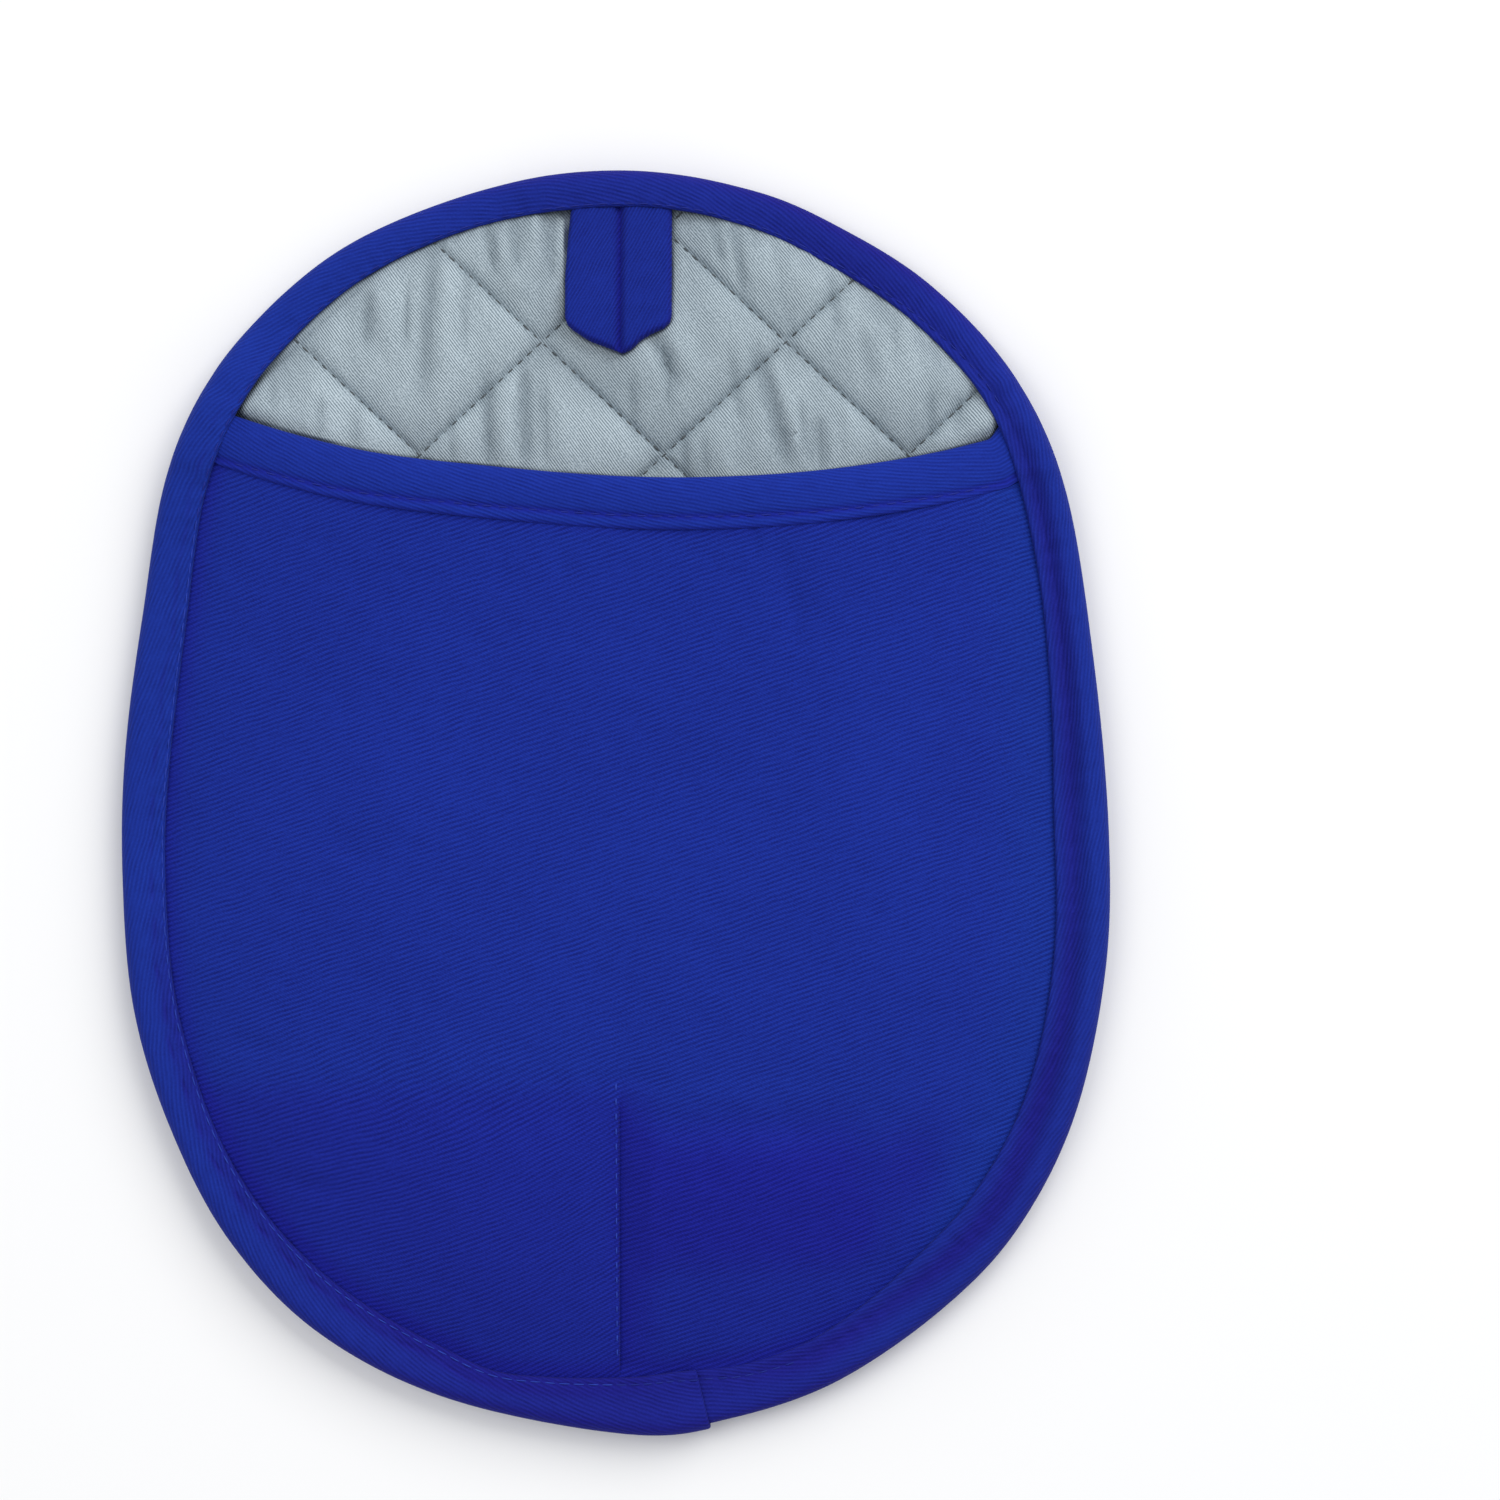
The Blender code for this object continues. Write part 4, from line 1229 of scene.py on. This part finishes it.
def mouth_stitches():
    length, pitch = 1.9, 2.7
    x = np.arange(-66.0, 66.0, pitch)
    rows = []
    for at in (x, x + length):
        into = MOUTH_TAPE - mouth_seam(at)
        px, py = below_mouth(at, into)
        rows.append(stacked(px, py, pocket_base(px, py) + mouth_height(at, into, UP, 0.0)))
    made = stitches("mouth_thread", rows[0], rows[1], 0.13, shaded_blue_thread)


def creased(travelled, lip):
    """A fine crease that comes and goes along the edge binding, 0 to 1."""
    strength = np.clip(0.5 + uneven("crease strength", travelled), 0, 1)
    return strength * hump(lip - CREASE_AT - uneven("crease wander", travelled), CREASE_HALF)


def edge_top(share, inset):
    """Height of the edge binding's upper side."""
    on_edge = outline.at(share)
    columns = (WIDTH, ROLL, VALLEY, SEAM, CREASE)
    width, roll, valley, seam, crease = (by_direction(column, *on_edge) for column in columns)
    lip = width - inset
    travelled = share * outline.length
    base = wrapped_top(*outline.place(share, inset)) + GAP + BINDING_SLACK + BINDING_LIP
    rolled = roll * hump(inset - ROLL_AT, ROLL_HALF)
    sunk = valley * hump(lip - seam, VALLEY_HALF) + SEAM_SINK * hump(lip - seam, SEAM_HALF)
    sunk = sunk + crease * creased(travelled, lip)
    puckered = uneven("edge", travelled, lip) * (PUCKER_LEAST + hump(lip - seam, PUCKER_HALF))
    round_in = np.clip(1 - lip / BINDING_ROUND, 0, 1)
    rounded = BINDING_ROUND * (1 - np.sqrt(1 - round_in**2))
    return base + rolled - sunk + puckered - rounded


def edge_rings(share, step, closing):
    """Sections of the edge binding, from the back's inner edge round to the front's.

    The step draws in what lies under the lap, and closing rounds off the lap's folded end.
    Returned with them is how many of their columns face the back.
    """
    width = binding_front(*outline.at(share))
    back_lip = np.array((0.0, 0.1, 0.3, 0.6))
    back = np.concatenate((BINDING_BACK - back_lip, np.linspace(7.6, BINDING_BEND, 8)))
    turn = np.radians(np.linspace(-90, 90, 15)[1:])
    front = np.linspace(0, 1, 30)[1:-1]
    front_lip = np.array((1.0, 0.75, 0.5, 0.3, 0.15, 0.05, 0.0))
    reach = width - front_lip[0] - BINDING_BEND
    front_inset = np.concatenate((BINDING_BEND + reach * front, width - front_lip), axis=1)
    start = LAP_STEP * step
    top = edge_top(share, front_inset) - LAP_DROP * step
    fold_top = edge_top(share, BINDING_BEND + 0 * share) - LAP_DROP * step
    bottom = TAPE_BOTTOM + LAP_RISE * step
    middle = (fold_top + bottom) / 2
    fold_inset = start + (BINDING_BEND - start) * (1 - np.cos(turn))
    fold_z = middle + (fold_top - middle) * np.sin(turn)
    ripple_at, ripple_half = BACK_RIPPLE
    ripple = uneven("edge back", share * outline.length) * hump(back - ripple_at, ripple_half)
    turn_up, turn_over = BACK_LIP
    rounded = turn_up * np.clip(1 - (BINDING_BACK - back) / turn_over, 0, 1) ** 2
    inset = np.concatenate((back + 0 * share, fold_inset, front_inset), axis=1)
    z = np.concatenate((bottom + ripple + rounded, fold_z, top), axis=1)
    flat_front = np.full(front_inset.shape[1], UP)
    facing = np.concatenate((np.full(len(back), -UP), turn, flat_front))
    thick = BINDING_THICK * (1 - LAP_THIN * step) * (1 - 0.5 * closing)
    shrink = 0.5 * BINDING_THICK * closing
    inset, z = inset + shrink * np.cos(facing), z - shrink * np.sin(facing)
    outer = (*outline.place(share, inset), z)
    inner = (*outline.place(share, inset + thick * np.cos(facing)), z - thick * np.sin(facing))
    return closed_sections(outer, inner), len(back) + 3


def edge_painted_shade(share, rings):
    """Painted shade on the edge binding, 0 to 1, by direction, in folds and at its turn."""
    on_edge = outline.at(share)
    columns = (WIDTH, VALLEY, SEAM, CREASE, PAINTED_SHADE)
    width, valley, seam, crease, tone = (by_direction(column, *on_edge) for column in columns)
    inset = outline.inside(rings[..., 0], rings[..., 1])
    lip = width - inset
    in_valley = VALLEY_PAINTED_SHADE * valley / VALLEY_DEEPEST * hump(lip - seam, VALLEY_PAINTED_SHADE_HALF)
    turned = FOLD_PAINTED_SHADE * tone * hump(inset, FOLD_PAINTED_SHADE_HALF)
    in_crease = CREASE_PAINTED_SHADE * crease / CREASE_DEEPEST * creased(share * outline.length, lip)
    lower_left = ramp(on_edge[1], -5, -45) * ramp(on_edge[0], 10, -15)
    inner = INNER_PAINTED_SHADE * lower_left * smooth_step(1 - (lip - 0.5) / INNER_REACH)
    return np.clip(EDGE_PAINTED_SHADE * tone + in_valley + turned + in_crease + inner, 0, 1)


def lap_share():
    """Share of the outline at the lap, on the bottom edge."""
    shares = np.linspace(0.4, 0.8, 4001)
    return shares[np.searchsorted(outline.at(shares)[0], LAP_X)]


def edge_binding():
    """A folded strip round the whole edge, from under the lap back to the lap's folded end."""
    run = outline.length + LAP_UNDER
    last = run - np.array((1.4, 0.9, 0.6, 0.4, 0.25, 0.12, 0.04, 0.0))
    travelled = np.concatenate((np.arange(0, run - 2, EDGE_STEP), last))[:, None]
    share = lap_share() + (travelled - LAP_UNDER) / outline.length
    step = 1 - smooth_step((travelled - LAP_UNDER) / LAP_FADE)
    closing = 1 - np.sqrt(1 - np.clip(1 - (run - travelled) / LAP_ROUND, 0, 1) ** 2)
    rings, back_count = edge_rings(share, step, closing)
    # the binding's painted shade, carried in its cloth attribute
    tone = edge_painted_shade(share, rings)
    made = tube_piece("edge_tape", rings, [edge_twill, back_canvas], travelled, tone, back_count)
    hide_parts("edge_binding")
    return made


def edge_stitches():
    """The seam that holds the edge binding, as it shows on the pocket side and on the back."""
    length, pitch = 2.0, 2.7
    front_lift, back_lift = 0.04, 0.02
    count = int(outline.length / pitch)
    share = lap_share() + (np.arange(count) + 0.3) * pitch / outline.length
    seen = by_direction(VALLEY, *outline.at(share)) < SEAM_HIDDEN
    lapped = 1 - smooth_step((share - lap_share()) * outline.length / LAP_FADE)
    front, back = [], []
    for at in (share, share + length / outline.length):
        inset = by_direction(WIDTH, *outline.at(at)) - by_direction(SEAM, *outline.at(at))
        x, y = outline.place(at, inset)
        front.append(stacked(x, y, edge_top(at, inset) + front_lift - LAP_DROP * lapped)[seen])
        x, y = outline.place(at, BINDING_BACK - BACK_SEAM)
        back.append(stacked(x, y, TAPE_BOTTOM - back_lift + LAP_RISE * lapped))
    # the front stitches down the lower left get the lit thread, the rest the shaded one
    left = (front[0][:, 0] < 0) & (front[0][:, 1] < LIGHT_THREAD_TOP)
    for name, rows, surface, side in (
        ("edge_thread_left", [row[left] for row in front], lit_blue_thread, 1.0),
        ("edge_thread_front", [row[~left] for row in front], shaded_blue_thread, 1.0),
        ("edge_thread_back", back, back_thread, -1.0),
    ):
        made = stitches(name, rows[0], rows[1], 0.12, surface, side=side)


def draft(points, faces):
    """A mesh to edit, still in millimetres."""
    mesh = bpy.data.meshes.new("draft")
    mesh.from_pydata(points.tolist(), [], faces)
    bm = bmesh.new()
    bm.from_mesh(mesh)
    bpy.data.meshes.remove(mesh)
    return bm


def walled(bm, level):
    """The open draft's points and faces, closed by walls and a flat face at this level."""
    rim = [edge for edge in bm.edges if edge.is_boundary]
    for item in bmesh.ops.extrude_edge_only(bm, edges=rim)["geom"]:
        if isinstance(item, bmesh.types.BMVert):
            item.co.z = level
    bmesh.ops.holes_fill(bm, edges=[edge for edge in bm.edges if edge.is_boundary], sides=0)
    bm.verts.index_update()
    points = np.array([vertex.co for vertex in bm.verts])
    faces = [[vertex.index for vertex in face.verts] for face in bm.faces]
    bm.free()
    return points, faces


def lining():
    """A quilted slab on its own lattice, pulled in to the layers' cut edge."""
    t = np.linspace(0, 1, QUILT_STEPS, endpoint=False)
    eased = t - QUILT_GATHER * np.sin(2 * math.pi * t) / (2 * math.pi)
    lines = np.concatenate([cell + eased for cell in range(*QUILT_RANGE)])
    u, v = np.meshgrid(lines, lines)
    x, y = quilt_place(u, v)
    kept = outline.inside(x, y) > TUCK
    quads = grid_quads(*x.shape)
    quads = quads[kept.ravel()[quads].any(axis=1)]
    used, quads = np.unique(quads, return_inverse=True)
    x, y = outline.pulled_in(x.ravel()[used], y.ravel()[used], TUCK)
    bm = draft(stacked(x, y, lining_top(x, y)), quads.reshape(-1, 4).tolist())
    bmesh.ops.dissolve_degenerate(bm, dist=0.01, edges=bm.edges)
    points, faces = walled(bm, LINING_BOTTOM)
    x, y = points[:, 0], points[:, 1]
    # the lining's painted shade and light ride in its cloth attribute
    cloth = stacked(x, y, lining_painted_shade(x, y))
    made = piece("lining_quilt", points, faces, [lining_twill], cloth)
    # distance for the painted shadow in the gaps
    rim = made.data.attributes.new("rim", "FLOAT", "POINT")
    rim.data.foreach_set("value", lining_rim(x, y))
    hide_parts("quilted_lining")
    return made


def quilting():
    """Running stitches in the sewn channels, as far as the mouth lets them be seen."""
    length, pitch = 1.7, 2.3
    side = math.hypot(*QUILT_HALF)
    along = np.arange(QUILT_RANGE[0] * side, QUILT_RANGE[1] * side, pitch) / side
    rng = np.random.default_rng(5)
    starts, ends = [], []
    for line in range(*QUILT_RANGE):
        for first in (True, False):
            if line == QUILT_HIDDEN and not first:
                continue
            first_end = along + rng.uniform(0, pitch / side)
            last_end = first_end + length / side * rng.uniform(0.75, 1.1, along.shape)
            sunk = rng.uniform(-0.04, 0.14, along.shape)
            for at, rows in ((first_end, starts), (last_end, ends)):
                x, y = quilt_place(line, at) if first else quilt_place(at, line)
                rows.append(stacked(x, y, lining_top(x, y) - sunk))
    starts, ends = np.vstack(starts), np.vstack(ends)
    x, y = starts[:, 0], starts[:, 1]
    seen = (past_binding(x, y) > -1.0) & (y > mouth_y(x) - QUILT_SEEN)
    made = stitches("quilting_thread", starts[seen], ends[seen], 0.17, grey_thread, arch=0.2)


def strap():
    """Two legs side by side with a groove between them, folded to a blunt point."""
    rows, columns = 110, 91
    t = np.linspace(-1, 1, columns)
    # the columns lie closer at the groove and the sides, and the rows at the folded end
    across = np.sign(t) * (smooth_step(np.abs(t)) * 0.75 + np.abs(t) * 0.25)
    down = np.linspace(0, 1, rows)[:, None]
    down = 0.35 * down + 0.65 * (1 - (1 - down) ** 1.6)
    side_y, left_x, right_x = np.array(STRAP_SIDES[::-1]).T
    end_x, end_y = np.array(STRAP_END_LINE).T
    y = STRAP_TOP + (84.0 - STRAP_TOP) * down + 0 * across
    for _ in range(SETTLING):
        left, right = np.interp(y, side_y, left_x), np.interp(y, side_y, right_x)
        half = np.where(across < 0, STRAP_GROOVE_X - left, right - STRAP_GROOVE_X)
        x = STRAP_GROOVE_X + across * half
        end = np.interp(x, end_x, end_y)
        y = STRAP_TOP + (end - STRAP_TOP) * down
    from_side = np.minimum(x - left, right - x)
    from_end = (y - end) * 0.85
    from_edge = np.minimum(from_side, from_end)
    from_groove = np.abs(x - STRAP_GROOVE_X) + 0.02
    rounded = np.sqrt(1 - (1 - np.clip(from_edge / STRAP_ROUND, 0, 1)) ** 2)
    groove = smooth_step(from_groove / STRAP_GROOVE_HALF) ** 0.7
    groove = STRAP_GROOVE + (1 - STRAP_GROOVE) * groove
    body = STRAP_LEAST + (1 - STRAP_LEAST) * np.minimum(rounded, groove)
    free = ramp(past_binding(x, y), -1.0, 0.5)
    thick = STRAP_HELD + free * (STRAP_VISIBLE - STRAP_HELD)
    crown = np.sin(math.pi * np.clip(np.abs(x - STRAP_GROOVE_X) / STRAP_LEG, 0, 1))
    crown = STRAP_CROWN * crown * rounded * free
    bottom = pressed_top(x, y) + GAP
    seam, depth, half_width = STRAP_SEAM
    stitched = depth * hump(from_side - seam, half_width) * (x < STRAP_GROOVE_X)
    top = bottom + thick * body + crown - stitched + uneven("strap", x, y)
    # painted shade in the groove and slit, at the folded end and along the right side; STRAP_TONE
    # deepens the strap's colour all over
    tone = painted_shade_line("strap groove", from_groove) + painted_shade_line("strap slit", from_groove)
    tone += STRAP_TONE + painted_shade_line("strap end", from_end) + painted_shade_line("strap right", right - x)
    points = np.vstack((stacked(x, y, top), stacked(x, y, bottom)))
    cloth = np.tile(stacked(x, y, np.clip(tone, 0, 1)), (2, 1))
    made = piece("loop_strap", points, shell_faces(*x.shape), [strap_twill], cloth)
    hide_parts("hanging_loop")
    return made


def back_panel():
    """A flat sheet between the layers. Only a narrow strip of it shows, round the silicone."""
    stations = 240
    inward = (1.0, 0.97, 0.94, 0.92, 0.9, 0.88, 0.86, 0.8, 0.7, 0.55, 0.4, 0.25, 0.1, 0.02)
    x, y = outline.place(np.arange(stations) / stations, TUCK)
    x, y = np.outer(inward, x), np.outer(inward, y)
    low = PANEL_BOTTOM + uneven("panel", x, y) * ramp(outline.inside(x, y), 9.0, 10.5)
    points = np.vstack((stacked(x, y, PANEL_TOP), stacked(x, y, low)))
    upper = grid_quads(*x.shape, wrap=True)
    rim = np.arange(stations)
    after = np.roll(rim, -1)
    walls = np.stack((rim, after, after + x.size, rim + x.size), axis=-1)
    middle = rim + x.size - stations
    caps = [middle.tolist(), (middle + x.size).tolist()]
    faces = [*upper.tolist(), *(upper[:, ::-1] + x.size).tolist(), *walls.tolist(), *caps]
    made = piece("panel_canvas", points, faces, [back_canvas], points[:, :2])
    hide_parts("back_panel")
    return made


def cut_away(bm, inset):
    """Cuts off what lies outside the inset line, by a plane at each of many places along it."""
    places = 96
    for share in np.arange(places) / places:
        x, y = outline.place(share, inset)
        ahead_x, ahead_y = outline.place(share + 0.002, inset)
        bmesh.ops.bisect_plane(
            bm,
            geom=[*bm.verts, *bm.edges, *bm.faces],
            dist=0.0001,
            plane_co=(x, y, 0.0),
            plane_no=(ahead_y - y, x - ahead_x, 0.0),
            clear_outer=True,
        )


def honeycomb():
    """Rows of cells over the holder's box, cut to the line under the bead, and a flat top."""
    columns, rows = 16, 20  # to each side of the middle
    sides = 6
    corner = 2 * math.pi / sides * np.arange(sides)
    cut = SILICONE_INSET + BEAD_WIDTH / 2
    column, row = np.mgrid[-columns : columns + 1, -rows : rows + 1].reshape(2, -1)
    cells = CELL * np.stack((column * math.sqrt(3) / 2, row + 0.5 * (column % 2)), axis=-1)
    cells = cells[outline.inside(cells[:, 0], cells[:, 1]) > cut - CELL]
    rings = []
    for from_middle, z in RIB_SECTION:
        size = (CELL / 2 - from_middle) / math.cos(math.pi / sides)
        x = cells[:, :1] + size * np.cos(corner)
        y = cells[:, 1:] + size * np.sin(corner)
        rings.append(np.stack((x, y, np.full(x.shape, z)), axis=-1))
    points = np.stack(rings, axis=1).reshape(-1, 3)
    corners = sides * len(RIB_SECTION)
    faces = repeated(grid_quads(len(RIB_SECTION), sides, wrap=True), corners, len(cells))
    faces += repeated(np.arange(sides)[None], corners, len(cells))
    bm = draft(points, faces)
    bmesh.ops.remove_doubles(bm, verts=bm.verts, dist=0.01)
    cut_away(bm, cut)
    return walled(bm, CELL_TOP)


def bead():
    """A closed ring round the silicone's edge: a round bead below and a flat top."""
    share = np.arange(420)[:, None] / 420
    turn = np.linspace(0, math.pi, 13)
    half = BEAD_WIDTH / 2
    inset = SILICONE_INSET + half - half * np.cos(turn)
    z = BEAD_HEIGHT - BEAD_HEIGHT * np.sin(turn) ** 0.8
    inset = np.append(inset, (SILICONE_INSET + BEAD_WIDTH, SILICONE_INSET))
    z = np.append(z, (SILICONE_THICK, SILICONE_THICK))
    x, y = outline.place(share, inset)
    return stacked(x, y, z), grid_quads(*x.shape, wrap=True, close=True).tolist()


def silicone_face():
    points, faces = honeycomb()
    more, more_faces = bead()
    faces += [[corner + len(points) for corner in face] for face in more_faces]
    made = piece("silicone_honeycomb", np.vstack((points, more)), faces, [blue_silicone])
    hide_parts("silicone_face")
    return made


def stage():
    """A plain pale floor, soft daylight, a large lamp at the upper right, a weak one opposite."""
    bpy.ops.mesh.primitive_plane_add(size=6.0)
    floor = bpy.context.object
    floor.name = "floor"
    surface = Surface("floor", Roughness=0.9, Specular_IOR_Level=0.1)
    surface.shader.inputs["Base Color"].default_value = (0.9, 0.9, 0.9, 1.0)
    floor.data.materials.append(surface.material)
    world = bpy.data.worlds.new("daylight")
    bpy.context.scene.world = world
    world.use_nodes = True
    background = world.node_tree.nodes["Background"]
    background.inputs["Color"].default_value = (0.97, 0.98, 1.0, 1.0)
    background.inputs["Strength"].default_value = 0.6
    for name, place, size, power in (
        ("key", (1.1, 1.55, 1.6), 1.8, 42.0),
        ("fill", (-1.2, 0.4, 2.2), 1.4, 13.0),
    ):
        lamp = bpy.data.lights.new(name, "AREA")
        lamp.size = size
        lamp.energy = power
        made = bpy.data.objects.new(name, lamp)
        bpy.context.scene.collection.objects.link(made)
        made.location = place
        direction = -made.location
        made.rotation_euler = direction.to_track_quat("-Z", "Y").to_euler()


def camera():
    """Looks straight down, with the holder left of the middle as in the photograph."""
    lens = bpy.data.cameras.new("camera")
    lens.lens = 100.0
    lens.sensor_width = 36.0
    made = bpy.data.objects.new("camera", lens)
    bpy.context.scene.collection.objects.link(made)
    made.location = CAMERA_AT
    bpy.context.scene.camera = made
    bpy.context.scene.view_settings.view_transform = "Standard"


camera()
stage()
silicone_face()
panel = back_panel()
padding = lining()
pocket_sheet = pocket()
mouth_tape = mouth_binding()
edge_tape = edge_binding()
loop = strap()
quilting()
dart_stitches()
mouth_stitches()
edge_stitches()
